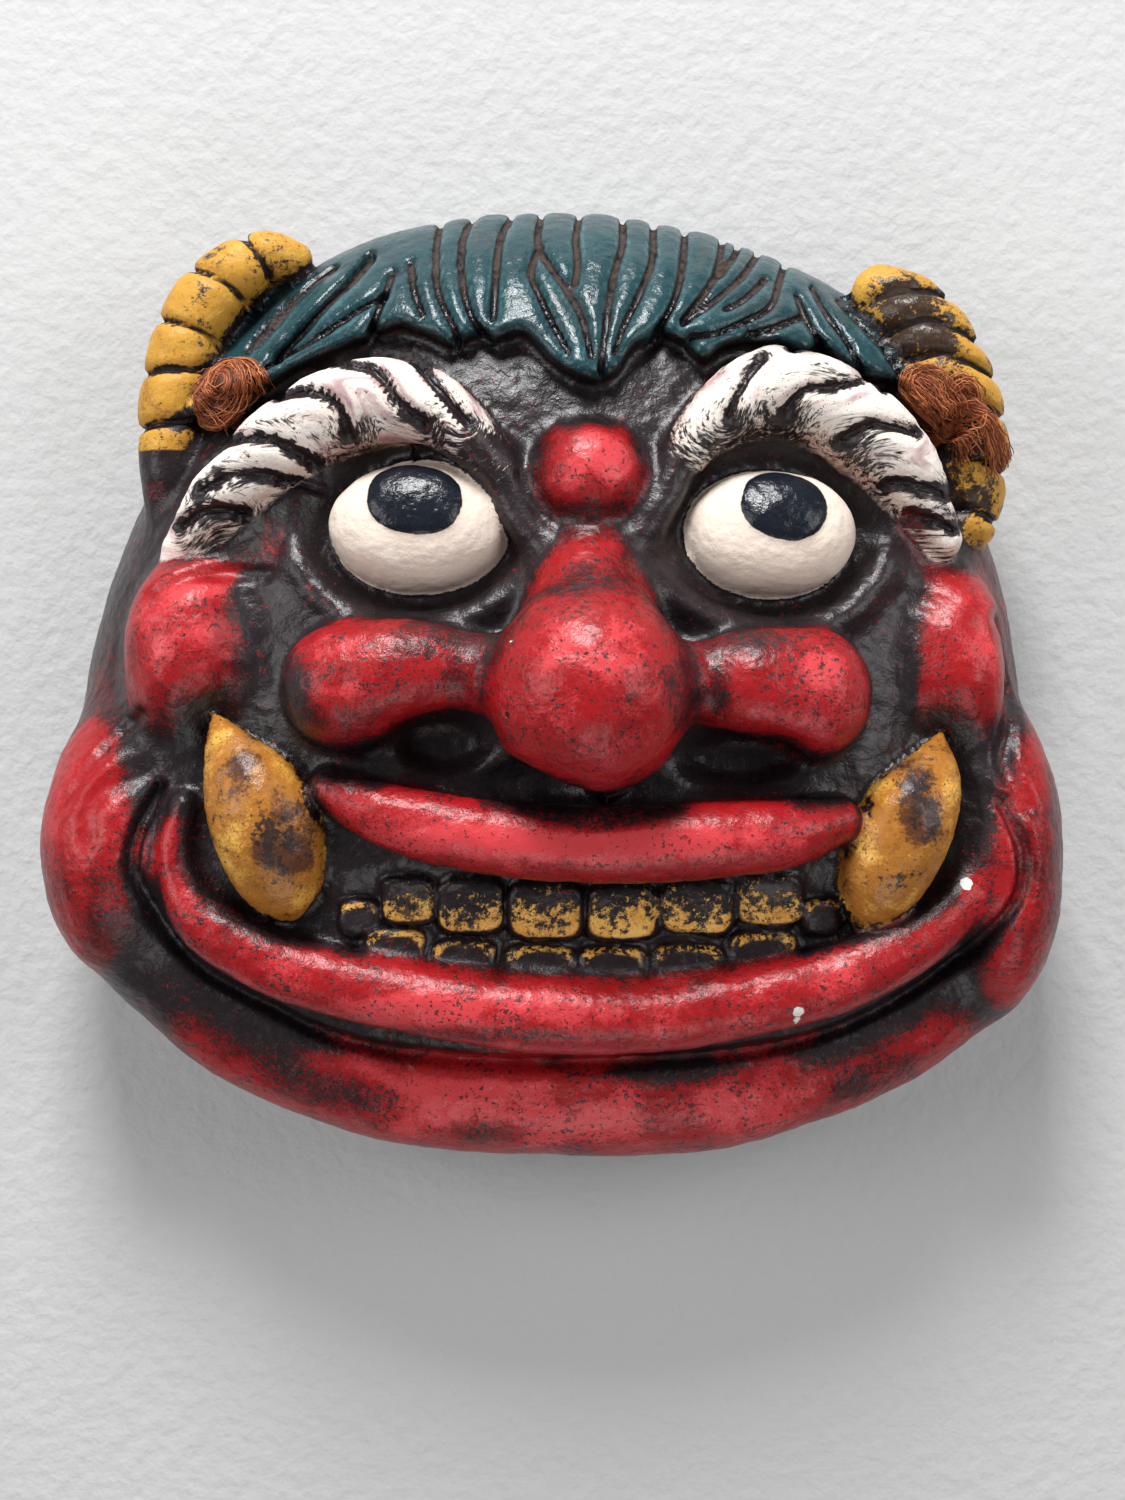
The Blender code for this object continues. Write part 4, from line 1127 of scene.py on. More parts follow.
class NodeTable:
    """A node tree under construction, with short calls for the nodes that every finish uses."""

    def __init__(self, tree: bpy.types.NodeTree) -> None:
        """Keeps the tree that the calls add to."""
        self.tree = tree

    def plug(self, socket: bpy.types.NodeSocket, value: object) -> None:
        """Links another node's output to a socket, or sets the socket's own value.

        Args:
            socket: An input.
            value: An output socket, a number, or a colour or vector as a tuple.
        """
        if isinstance(value, bpy.types.NodeSocket):
            self.tree.links.new(value, socket)
        elif socket.type == "RGBA" and len(value) == 3:
            socket.default_value = (*value, 1.0)
        else:
            socket.default_value = value

    def calc(self, operation: str, first: object, second: object = 0.0, third: object = 0.0) -> object:
        """One step of arithmetic.

        Args:
            operation: Blender's name for it.
            first: The first value.
            second: The second value, where the operation has one.
            third: The third value, where the operation has one.

        Returns:
            The result's socket.
        """
        node = self.tree.nodes.new("ShaderNodeMath")
        node.operation = operation
        for socket, value in zip(node.inputs, (first, second, third)):
            self.plug(socket, value)
        return node.outputs[0]

    def line(self, value: object, slope: object, offset: object) -> object:
        """A value times a slope, and an offset added."""
        return self.calc("MULTIPLY_ADD", value, slope, offset)

    def times(self, first: object, second: object) -> object:
        """Two values multiplied, which is also where two masks overlap."""
        return self.calc("MULTIPLY", first, second)

    def without(self, first: object, second: object) -> object:
        """A mask with another taken out of it."""
        return self.times(first, self.calc("SUBTRACT", 1.0, second))

    def ease(self, value: object, low: object, high: object) -> object:
        """Zero at low, one at high, with an easy slope between."""
        node = self.tree.nodes.new("ShaderNodeMapRange")
        node.interpolation_type = "SMOOTHSTEP"
        for name, given in (("Value", value), ("From Min", low), ("From Max", high)):
            self.plug(node.inputs[name], given)
        return node.outputs["Result"]

    def fade(self, value: object, low: object, high: object) -> object:
        """One at low, zero at high, with an easy slope between."""
        return self.calc("SUBTRACT", 1.0, self.ease(value, low, high))

    def noise(self, where: object, scale: object, detail: float = 3.0, roughness: float = 0.55) -> object:
        """A cloudy pattern from about zero to one.

        Args:
            where: The coordinates.
            scale: How many features go in a metre.
            detail: How many finer octaves are added.
            roughness: How strong they are.

        Returns:
            The pattern's socket.
        """
        node = self.tree.nodes.new("ShaderNodeTexNoise")
        given = (("Vector", where), ("Scale", scale), ("Detail", detail), ("Roughness", roughness))
        for name, value in given:
            self.plug(node.inputs[name], value)
        return node.outputs[0]

    def cells(self, where: object, scale: object) -> tuple[object, object]:
        """Scattered points: the distance to the nearest, and its own random colour."""
        node = self.tree.nodes.new("ShaderNodeTexVoronoi")
        self.plug(node.inputs["Vector"], where)
        self.plug(node.inputs["Scale"], scale)
        return node.outputs["Distance"], node.outputs["Color"]

    def mix(self, share: object, under: object, over: object) -> object:
        """Lays one colour over another by a share."""
        node = self.tree.nodes.new("ShaderNodeMix")
        node.data_type = "RGBA"
        for index, value in ((0, share), (6, under), (7, over)):
            self.plug(node.inputs[index], value)
        return node.outputs[2]

    def blend(self, share: object, under: object, over: object) -> object:
        """Goes from one number to another by a share."""
        node = self.tree.nodes.new("ShaderNodeMix")
        node.data_type = "FLOAT"
        for index, value in ((0, share), (2, under), (3, over)):
            self.plug(node.inputs[index], value)
        return node.outputs[0]

    def object_place(self) -> object:
        """The place on the piece, in metres."""
        return self.tree.nodes.new("ShaderNodeTexCoord").outputs["Object"]

    def zone(self, zone: Zone) -> object:
        """A zone's values on the mesh's points."""
        node = self.tree.nodes.new("ShaderNodeAttribute")
        node.attribute_name = zone.value
        return node.outputs["Fac"]

    def place(self, group: bpy.types.NodeTree, **values: object) -> bpy.types.Node:
        """Places a node group.

        Args:
            group: The group.
            **values: What its inputs get, by name.

        Returns:
            The group's node.
        """
        node = self.tree.nodes.new("ShaderNodeGroup")
        node.node_tree = group
        for name, value in values.items():
            self.plug(node.inputs[name], value)
        return node


class EffectGroups:
    """The effects that several finishes share, each a node group that is built once."""

    FLOAT, COLOUR, VECTOR = "NodeSocketFloat", "NodeSocketColor", "NodeSocketVector"

    def __init__(self) -> None:
        """Builds every group."""
        self.broken_edge = self._broken_edge()
        self.dry_brush = self._dry_brush()
        self.coat = self._coat()
        self.specks = self._specks()
        self.pits = self._pits()

    def _start(self, name: str, inputs: dict[str, str], outputs: dict[str, str]) -> tuple:
        """Starts a group.

        Args:
            name: The group's name.
            inputs: Its inputs' names and kinds.
            outputs: Its outputs' names and kinds.

        Returns:
            The table to build it on, its input node and its output node.
        """
        group = bpy.data.node_groups.new(name, "ShaderNodeTree")
        for label, kind in inputs.items():
            group.interface.new_socket(name=label, in_out="INPUT", socket_type=kind)
        for label, kind in outputs.items():
            group.interface.new_socket(name=label, in_out="OUTPUT", socket_type=kind)
        start = group.nodes.new("NodeGroupInput")
        end = group.nodes.new("NodeGroupOutput")
        return NodeTable(group), start.outputs, end.inputs

    def _broken_edge(self) -> bpy.types.NodeTree:
        """A zone's mask, with an edge that wanders as a brush does."""
        inputs = {"Distance": self.FLOAT, "Reach": self.FLOAT, "Wander": self.FLOAT, "Soft": self.FLOAT,
                  "Where": self.VECTOR}  # fmt: skip
        table, given, out = self._start("broken_edge", inputs, {"Mask": self.FLOAT})
        slow = table.calc("SUBTRACT", table.noise(given["Where"], 160.0, 2.0), 0.5)
        quick = table.calc("SUBTRACT", table.noise(given["Where"], 900.0, 3.0), 0.5)
        stray = table.line(quick, 0.6, slow)
        moved = table.line(stray, given["Wander"], given["Distance"])
        low = table.calc("SUBTRACT", given["Reach"], given["Soft"])
        high = table.calc("ADD", given["Reach"], given["Soft"])
        table.plug(out["Mask"], table.fade(moved, low, high))
        return table.tree

    def _dry_brush(self) -> bpy.types.NodeTree:
        """A mask that breaks up into grains where little paint holds."""
        inputs = {"Cover": self.FLOAT, "Ragged": self.FLOAT, "Grain": self.FLOAT, "Soft": self.FLOAT,
                  "Where": self.VECTOR}  # fmt: skip
        table, given, out = self._start("dry_brush", inputs, {"Mask": self.FLOAT})
        broad = table.calc("SUBTRACT", table.noise(given["Where"], 75.0, 5.0, 0.6), 0.5)
        grain = table.calc("SUBTRACT", table.noise(given["Where"], given["Grain"], 3.0, 0.75), 0.5)
        both = table.line(grain, 2.0, broad)
        held = table.line(both, given["Ragged"], given["Cover"])
        half = table.times(given["Soft"], 0.5)
        low, high = table.calc("SUBTRACT", 0.5, half), table.calc("ADD", 0.5, half)
        table.plug(out["Mask"], table.ease(held, low, high))
        return table.tree

    def _coat(self) -> bpy.types.NodeTree:
        """One coat of paint over what is under it, in three tones, picked by its Light input, which carries
        painted light and shade, and by random mottling.
        """
        inputs = {name: self.COLOUR for name in ("Under", "Deep", "Main", "Bright")}
        inputs |= {name: self.FLOAT for name in ("Light", "Mottle", "Mask")} | {"Where": self.VECTOR}
        table, given, out = self._start("coat_of_paint", inputs, {"Colour": self.COLOUR})
        broad = table.calc("SUBTRACT", table.noise(given["Where"], 110.0, 5.0, 0.65), 0.5)
        fine = table.calc("SUBTRACT", table.noise(given["Where"], 1300.0, 2.0, 0.6), 0.5)
        both = table.line(fine, 0.8, broad)
        light = table.line(both, given["Mottle"], given["Light"])
        lower = table.mix(table.ease(light, 0.0, 0.45), given["Deep"], given["Main"])
        tone = table.mix(table.ease(light, 0.55, 1.05), lower, given["Bright"])
        table.plug(out["Colour"], table.mix(given["Mask"], given["Under"], tone))
        return table.tree

    def _specks(self) -> bpy.types.NodeTree:
        """Scattered specks, denser where the amount is higher."""
        inputs = {"Amount": self.FLOAT, "Grain": self.FLOAT, "Where": self.VECTOR}
        table, given, out = self._start("specks", inputs, {"Mask": self.FLOAT})
        clouds = table.noise(given["Where"], 90.0, 3.0, 0.6)
        grain = table.noise(given["Where"], given["Grain"], 2.0, 0.75)
        level = table.line(clouds, 0.35, grain)
        need = table.calc("SUBTRACT", 1.02, table.times(given["Amount"], 0.5))
        table.plug(out["Mask"], table.ease(level, need, table.calc("ADD", need, 0.05)))
        return table.tree

    def _pits(self) -> bpy.types.NodeTree:
        """Small round bubble pits, a few in each area."""
        inputs = {"Scale": self.FLOAT, "Share": self.FLOAT, "Radius": self.FLOAT, "Where": self.VECTOR}
        table, given, out = self._start("bubble_pits", inputs, {"Mask": self.FLOAT})
        distance, colour = table.cells(given["Where"], given["Scale"])
        chosen = table.calc("LESS_THAN", colour, given["Share"])
        hole = table.fade(distance, table.times(given["Radius"], 0.6), given["Radius"])
        table.plug(out["Mask"], table.times(hole, chosen))
        return table.tree


@dataclass(frozen=True)
class Coat:
    """One paint, in three tones: deep for painted shade, main in the open, and bright for painted highlights
    and where it is brushed light.
    """

    deep: Colour
    main: Colour
    bright: Colour
    mottle: float = 0.9


class Finish(NodeTable):
    """A material under construction, with its shader and the place on the piece to hand."""

    def __init__(self, name: str, groups: EffectGroups | None = None) -> None:
        """Starts the material.

        Args:
            name: Its name.
            groups: The shared effects, where it uses any.
        """
        self.material = bpy.data.materials.new(name)
        self.material.use_nodes = True
        super().__init__(self.material.node_tree)
        self.shader = self.tree.nodes["Principled BSDF"]
        self.groups = groups
        self.where = self.object_place()

    def coat(self, coat: Coat, under: object, mask: object, light: object) -> object:
        """One coat of paint over a colour.

        Args:
            coat: The paint.
            under: The colour below.
            mask: Where it lies.
            light: How light it is.

        Returns:
            The colour's socket.
        """
        node = self.place(
            self.groups.coat, Under=under, Deep=coat.deep, Main=coat.main, Bright=coat.bright,
            Light=light, Mottle=coat.mottle, Mask=mask, Where=self.where,
        )  # fmt: skip
        return node.outputs["Colour"]

    def pits(self, scale: float, share: float, radius: float) -> object:
        """A mask of bubble pits."""
        node = self.place(self.groups.pits, Scale=scale, Share=share, Radius=radius, Where=self.where)
        return node.outputs["Mask"]

    def finished(self, colour: object, rough: object, height: object) -> bpy.types.Material:
        """Gives the shader its colour, its roughness and its fine relief.

        Args:
            colour: The colour.
            rough: The roughness.
            height: The relief's height, in metres.

        Returns:
            The material.
        """
        self.plug(self.shader.inputs["Base Color"], colour)
        self.plug(self.shader.inputs["Roughness"], rough)
        bump = self.tree.nodes.new("ShaderNodeBump")
        bump.inputs["Distance"].default_value = 1.0
        self.plug(bump.inputs["Height"], height)
        self.plug(self.shader.inputs["Normal"], bump.outputs["Normal"])
        return self.material


class PaintTable(Finish):
    """The face's finish under construction: its zones, the masks laid so far, and the colour."""

    def __init__(self, name: str, groups: EffectGroups, colour: Colour) -> None:
        """Starts the material with a colour, and draws the masks that several paints share.

        Args:
            name: Its name.
            groups: The shared effects.
            colour: The colour under every coat.
        """
        super().__init__(name, groups)
        self.zones = {zone: self.zone(zone) for zone in Zone}
        self.colour = colour
        self.masks = {
            "line": self.edge(Zone.LINE, 0.75, 0.8, 0.35),
            "dirt": self.brushed(self.line(self.zones[Zone.GRIME], 0.85, -0.06), 1.25, 420.0, 0.35),
        }

    def lay(self, coat: Coat, mask: object, light: object) -> None:
        """Lays a coat of paint on everything so far."""
        self.colour = self.coat(coat, self.colour, mask, light)

    def tint(self, mask: object, colour: object) -> None:
        """Lays one plain colour on everything so far."""
        self.colour = self.mix(mask, self.colour, colour)

    def edge(self, zone: Zone, reach: float, wander: float, soft: float) -> object:
        """A zone's mask, with a wandering edge."""
        node = self.place(
            self.groups.broken_edge, Distance=self.zones[zone], Reach=reach, Wander=wander, Soft=soft,
            Where=self.where,
        )  # fmt: skip
        return node.outputs["Mask"]

    def brushed(
        self, cover: object, ragged: float, grain: float, soft: float = 0.2, where: object = None
    ) -> object:
        """A dry-brushed mask.

        Args:
            cover: How well the paint holds.
            ragged: How much it breaks up.
            grain: How many grains go in a metre.
            soft: How soft the grains' edges are.
            where: The coordinates, if they aren't the place on the piece.

        Returns:
            The mask's socket.
        """
        node = self.place(
            self.groups.dry_brush, Cover=cover, Ragged=ragged, Grain=grain, Soft=soft,
            Where=self.where if where is None else where,
        )  # fmt: skip
        return node.outputs["Mask"]

    def specks(self, amount: object, grain: float) -> object:
        """A mask of specks."""
        return self.place(self.groups.specks, Amount=amount, Grain=grain, Where=self.where).outputs["Mask"]

    def streaked(self, along: float) -> object:
        """Coordinates that are drawn out along the nearest groove.

        Args:
            along: How far they shrink along it.

        Returns:
            The coordinates' socket.
        """
        scaled = self.tree.nodes.new("ShaderNodeVectorMath")
        scaled.operation = "SCALE"
        self.plug(scaled.inputs[0], self.where)
        scaled.inputs["Scale"].default_value = along
        across = self.tree.nodes.new("ShaderNodeCombineXYZ")
        self.plug(across.inputs["X"], self.times(self.zones[Zone.LINE], 0.001))
        total = self.tree.nodes.new("ShaderNodeVectorMath")
        self.plug(total.inputs[0], scaled.outputs["Vector"])
        self.plug(total.inputs[1], across.outputs["Vector"])
        return total.outputs["Vector"]


@dataclass(frozen=True)
class PaintedPlaster:
    """The face's finish: coats of brushed paint over a charcoal ground on plaster.

    Attributes:
        ground: The charcoal ground.
        red: The skin's red.
        teal: The hair's blue-green.
        dust: The brown-grey that lies in the hair's grooves.
        yellow: The horns' paint.
        cream: The brows' paint.
        rose: The purple-pink tint that shows through the brows.
        white: The eyes' paint.
        black: The pupils' paint.
        gold: The teeth's paint.
        ochre: The fangs' paint.
        plaster: The white body that shows in chips.
        drip: The dark red of the specks that fell on everything.
        thickness: How far each coat stands above the ground, in metres, by its mask's name.
    """

    ground: Coat = Coat((0.006, 0.004, 0.005), (0.020, 0.013, 0.015), (0.065, 0.045, 0.050))
    red: Coat = Coat((0.080, 0.002, 0.003), (0.340, 0.007, 0.010), (0.620, 0.050, 0.058))
    teal: Coat = Coat((0.005, 0.018, 0.022), (0.014, 0.054, 0.064), (0.048, 0.135, 0.155))
    dust: Colour = (0.070, 0.050, 0.042)
    yellow: Coat = Coat((0.260, 0.100, 0.012), (0.580, 0.290, 0.034), (0.800, 0.480, 0.085))
    cream: Coat = Coat((0.470, 0.270, 0.200), (0.720, 0.570, 0.480), (0.900, 0.830, 0.760))
    rose: Colour = (0.300, 0.070, 0.120)
    white: Coat = Coat((0.640, 0.460, 0.370), (0.860, 0.730, 0.620), (0.930, 0.870, 0.800))
    black: Coat = Coat((0.004, 0.005, 0.008), (0.008, 0.011, 0.018), (0.030, 0.040, 0.060))
    gold: Coat = Coat((0.280, 0.075, 0.010), (0.640, 0.270, 0.040), (0.860, 0.520, 0.120))
    ochre: Coat = Coat((0.100, 0.034, 0.012), (0.400, 0.155, 0.022), (0.740, 0.400, 0.070))
    plaster: Colour = (0.860, 0.830, 0.790)
    drip: Colour = (0.200, 0.008, 0.012)
    thickness: tuple[tuple[str, float], ...] = (
        ("red", 0.00004), ("brow", 0.00010), ("eye", 0.00030), ("pupil", 0.00025), ("fang", 0.00010),
        ("upper", 0.00012), ("gilt", 0.00010), ("line", -0.00050), ("pits", -0.00050), ("chip", -0.00030),
    )  # fmt: skip

    def skin(self, paint: PaintTable) -> None:
        """The charcoal ground, and the red brushed over it, worn through in grains."""
        cover = paint.zones[Zone.COVER]
        # The charcoal is painted darker in hollows and lighter in open places: painted shade and painted
        # light.
        paint.lay(self.ground, 1.0, paint.line(paint.zones[Zone.WIDE], 0.5, 0.05))
        worn = paint.specks(paint.line(cover, -0.40, 0.92), 720.0)
        red = paint.without(paint.brushed(cover, 0.75, 560.0, 0.55), paint.times(worn, 0.85))
        clouds = paint.noise(paint.where, 60.0, 5.0)
        thick = paint.ease(paint.line(clouds, 1.5, cover), 1.30, 2.15)
        # The red's tone follows the light zone's painted light and shade, and is darker where the paint is
        # thin.
        paint.lay(self.red, red, paint.times(paint.zones[Zone.LIGHT], paint.line(thick, 1.25, 0.30)))
        paint.tint(paint.times(paint.specks(0.36, 520.0), 0.75), self.drip)
        paint.masks["red"] = red

    def brows(self, paint: PaintTable) -> None:
        """Cream, dragged along the brows' hairs, with rose showing through it."""
        zones, strokes = paint.zones, paint.streaked(0.3)
        between_hairs = paint.ease(zones[Zone.LINE], 0.6, 3.4)
        cover = paint.line(between_hairs, 0.55, paint.line(zones[Zone.OPEN], 1.1, -0.72))
        cover = paint.calc("SUBTRACT", cover, paint.times(zones[Zone.GRIME], 0.60))
        brush = paint.brushed(cover, 0.9, 1300.0, 0.3, strokes)
        brow = paint.times(paint.edge(Zone.BROW, 1.6, 2.2, 0.7), brush)
        brow = paint.without(brow, paint.masks["line"])
        # The cream is painted darker in hollows and lighter in open places: painted shade and painted light.
        paint.lay(self.cream, brow, paint.line(zones[Zone.WIDE], 0.80, 0.14))
        rosy = paint.ease(paint.noise(strokes, 200.0, 4.0), 0.50, 0.68)
        paint.tint(paint.times(brow, paint.times(rosy, 0.70)), self.rose)
        paint.tint(paint.times(brow, paint.specks(0.36, 1000.0)), self.ground.bright)
        paint.masks["brow"] = brow

    def eyes(self, paint: PaintTable) -> None:
        """White eyeballs with the brush's turns round the pupils, and black pupils."""
        pupil = paint.edge(Zone.PUPIL, 0.2, 0.7, 0.12)
        eye = paint.calc("MAXIMUM", paint.edge(Zone.EYE, 0.75, 0.9, 0.15), pupil)
        turns = paint.times(paint.zones[Zone.PUPIL], 3.4)
        sweep = paint.calc("SINE", paint.line(paint.noise(paint.where, 130.0, 2.0), 4.0, turns))
        lit = paint.line(paint.zones[Zone.OPEN], 0.45, 0.15)
        paint.lay(self.white, eye, paint.line(sweep, 0.04, lit))
        paint.tint(paint.times(eye, paint.times(paint.specks(0.14, 1000.0), 0.8)), self.ground.bright)
        paint.lay(self.black, pupil, 0.35)
        paint.masks |= {"eye": eye, "pupil": pupil, "sweep": sweep}

    def mouth(self, paint: PaintTable) -> None:
        """Ochre fangs with grime in their middles, and two rows of part gilded teeth."""
        zones, dirt = paint.zones, paint.masks["dirt"]
        cover = paint.brushed(paint.line(zones[Zone.OPEN], 0.9, -0.05), 0.9, 220.0, 0.35)
        fang = paint.times(paint.edge(Zone.FANG, 0.8, 1.6, 0.4), cover)
        clouds = paint.line(paint.noise(paint.where, 90.0, 4.0), 2.2, -0.52)
        paint.lay(self.ochre, fang, paint.line(zones[Zone.GRIME], -0.7, clouds))
        paint.tint(paint.times(fang, paint.specks(0.40, 1000.0)), self.ground.bright)
        paint.tint(paint.times(fang, paint.times(dirt, 0.9)), self.ground.main)
        gold = paint.brushed(paint.line(zones[Zone.GILT], 0.34, 0.40), 1.0, 480.0, 0.3)
        upper = paint.times(paint.edge(Zone.UPPER_TOOTH, -0.5, 1.2, 0.3), gold)
        upper = paint.without(upper, paint.times(dirt, 0.9))
        paint.lay(self.gold, upper, 0.82)
        lower = paint.times(paint.edge(Zone.LOWER_TOOTH, 0.75, 0.9, 0.35), paint.brushed(0.52, 1.1, 600.0))
        paint.lay(self.gold, lower, 0.75)
        paint.masks |= {"fang": fang, "upper": upper}

    def locks(self, paint: PaintTable) -> None:
        """Blue-green hair, painted darker in its hollows and grooves as painted shade, with dust in its
        grooves and a painted shadow under its fringe.
        """
        inside, where = paint.zones[Zone.HAIR], paint.where
        hair = paint.edge(Zone.HAIR, -0.6, 1.2, 0.35)
        # The teal is painted darker in hollows and lighter on open tops: painted shade and painted
        # highlights.
        paint.lay(self.teal, hair, paint.line(paint.zones[Zone.OPEN], 0.75, -0.30))
        # The grooves are painted in the ground's deepest tone: painted shade in them.
        groove = paint.times(hair, paint.fade(paint.zones[Zone.LINE], 0.7, 1.3))
        paint.tint(groove, self.ground.deep)
        settled = paint.times(groove, paint.ease(inside, -8.0, -20.0))
        clouds = paint.ease(paint.noise(where, 300.0, 3.0), 0.30, 0.55)
        paint.tint(paint.times(settled, clouds), self.dust)
        film = paint.ease(paint.noise(paint.streaked(0.2), 260.0, 4.0), 0.50, 0.75)
        paint.tint(paint.times(hair, paint.times(film, 0.35)), self.dust)
        paint.tint(paint.times(hair, paint.times(paint.specks(0.30, 700.0), 0.8)), self.dust)
        shade = paint.without(paint.ease(inside, 6.0, 0.5), hair)
        paint.tint(paint.times(shade, 0.7), self.ground.deep)
        paint.masks |= {"hair": hair, "settled": settled}

    def horns(self, paint: PaintTable) -> None:
        """Yellow horns, grimy at their roots and dark in their rings."""
        horn = paint.edge(Zone.HORN, 1.1, 0.8, 0.3)
        cover = paint.brushed(paint.line(paint.zones[Zone.OPEN], 1.3, -0.52), 0.62, 450.0, 0.3)
        gilt = paint.without(paint.times(horn, cover), paint.masks["line"])
        gilt = paint.without(gilt, paint.times(paint.masks["dirt"], 0.95))
        paint.tint(horn, self.ground.main)
        paint.lay(self.yellow, gilt, paint.line(paint.noise(paint.where, 95.0, 4.0), 1.1, -0.05))
        paint.tint(paint.times(gilt, paint.specks(0.34, 900.0)), self.ground.bright)
        paint.masks["gilt"] = gilt

    def wear_and_pit_shade(self, paint: PaintTable) -> None:
        """The chips that show the plaster, and the bubble pits, which are painted dark as painted shade in
        them.
        """
        chip = paint.edge(Zone.CHIP, 0.0, 1.0, 0.12)
        paint.tint(chip, self.plaster)
        # The pits are painted in the ground's deepest tone: painted shade in them.
        pits = paint.calc("MAXIMUM", paint.pits(85.0, 0.10, 0.085), paint.pits(260.0, 0.10, 0.13))
        paint.tint(paint.times(pits, 0.85), self.ground.deep)
        paint.masks |= {"chip": chip, "pits": pits}

    def roughness(self, paint: PaintTable) -> object:
        """How rough each paint is."""
        where, masks = paint.where, paint.masks
        rough = paint.line(paint.noise(where, 420.0, 4.0), 0.34, 0.16)
        for mask, value in (
            (masks["hair"], paint.line(paint.noise(where, 500.0, 3.0), 0.30, 0.10)),
            (masks["brow"], 0.62),
            (masks["eye"], 0.48),
            (masks["pupil"], paint.line(paint.noise(where, 300.0, 2.0), 0.20, 0.12)),
            (masks["gilt"], 0.50),
            (paint.calc("MAXIMUM", masks["chip"], masks["settled"]), 0.90),
        ):
            rough = paint.blend(mask, rough, value)
        return rough

    def relief(self, paint: PaintTable) -> object:
        """The height of the plaster's grain, of the brush's marks and of each coat, in metres."""
        where, masks = paint.where, paint.masks
        height = paint.times(paint.noise(where, 260.0, 4.0, 0.6), 0.00042)
        height = paint.line(paint.noise(where, 1200.0, 3.0, 0.6), 0.00010, height)
        height = paint.line(paint.noise(where, 100.0, 2.0), 0.00120, height)
        height = paint.line(paint.times(masks["eye"], masks["sweep"]), 0.000012, height)
        for name, thickness in self.thickness:
            height = paint.line(masks[name], thickness, height)
        return height

    def build(self, groups: EffectGroups) -> bpy.types.Material:
        """Builds the finish.

        Args:
            groups: The shared effects.

        Returns:
            The material.
        """
        paint = PaintTable("painted_plaster", groups, self.ground.main)
        for part in (self.skin, self.brows, self.eyes, self.mouth, self.locks, self.horns, self.wear_and_pit_shade):
            part(paint)
        paint.shader.inputs["Specular IOR Level"].default_value = 0.38
        return paint.finished(paint.colour, self.roughness(paint), self.relief(paint))


@dataclass(frozen=True)
class BarePlaster:
    """The hollow's finish: uncoated cast plaster, stained, with paint that ran over the rim.

    Attributes:
        body: The plaster.
        stain: The brown that soaked into it.
        paint: The colour of the paint that ran over the rim.
        rim_height: How far it ran, in metres.
    """

    body: Coat = Coat((0.330, 0.300, 0.260), (0.620, 0.590, 0.540), (0.800, 0.780, 0.740), 0.7)
    stain: Colour = (0.260, 0.190, 0.130)
    paint: Colour = (0.110, 0.010, 0.014)
    rim_height: float = 0.004

    def build(self, groups: EffectGroups) -> bpy.types.Material:
        """Builds the finish.

        Args:
            groups: The shared effects.

        Returns:
            The material.
        """
        table = Finish("bare_plaster", groups)
        where = table.where
        colour = table.coat(self.body, self.body.main, 1.0, 0.5)
        stained = table.ease(table.noise(where, 22.0, 5.0, 0.6), 0.52, 0.74)
        colour = table.mix(table.times(stained, 0.5), colour, self.stain)
        split = table.tree.nodes.new("ShaderNodeSeparateXYZ")
        table.plug(split.inputs[0], where)
        low = table.line(table.noise(where, 60.0, 4.0), 0.014, split.outputs["Z"])
        run = table.fade(low, self.rim_height, self.rim_height + 0.003)
        colour = table.mix(run, colour, self.paint)
        # The bubble pits are painted in the plaster's deep tone: painted shade in them.
        pits = table.pits(140.0, 0.30, 0.14)
        colour = table.mix(table.times(pits, 0.6), colour, self.body.deep)
        height = table.times(table.noise(where, 120.0, 6.0, 0.6), 0.0012)
        return table.finished(colour, table.line(run, -0.35, 0.88), table.line(pits, -0.0008, height))


@dataclass(frozen=True)
class RustFibre:
    """The cord's finish: dyed plant fibre, each strand its own tone from dark to light, and near its deep
    tone on the packed core, as painted shade in the knots' depths.
    """

    deep: Colour = (0.040, 0.007, 0.003)
    main: Colour = (0.270, 0.060, 0.014)
    bright: Colour = (0.640, 0.210, 0.065)

    def build(self) -> bpy.types.Material:
        """Builds the finish.

        Returns:
            The material.
        """
        table = Finish("rust_fibre")
        where = table.where
        own = table.tree.nodes.new("ShaderNodeAttribute")
        own.attribute_name = "strand"
        tone = table.line(table.noise(where, 900.0, 3.0), 0.5, own.outputs["Fac"])
        lower = table.mix(table.ease(tone, 0.15, 0.65), self.deep, self.main)
        colour = table.mix(table.ease(tone, 0.75, 1.25), lower, self.bright)
        table.shader.inputs["Sheen Weight"].default_value = 0.05
        height = table.times(table.noise(where, 3000.0, 2.0), 0.00008)
        return table.finished(colour, table.line(tone, -0.15, 0.75), height)


@dataclass(frozen=True)
class Bundle:
    """A bundle of fibres along a route of across, up and out, in shares of the knot's width.

    Attributes:
        route: The bundle's middle line.
        fibres: How many fibres it has.
        spread: How far they lie from the middle line.
        twist: How many turns they make about it.
        splay: How much further they spread at the far end.
        flat: How thick the bundle is, as a share of how wide it is.
    """

    route: Route
    fibres: int
    spread: float
    twist: float = 0.3
    splay: float = 0.0
    flat: float = 0.6


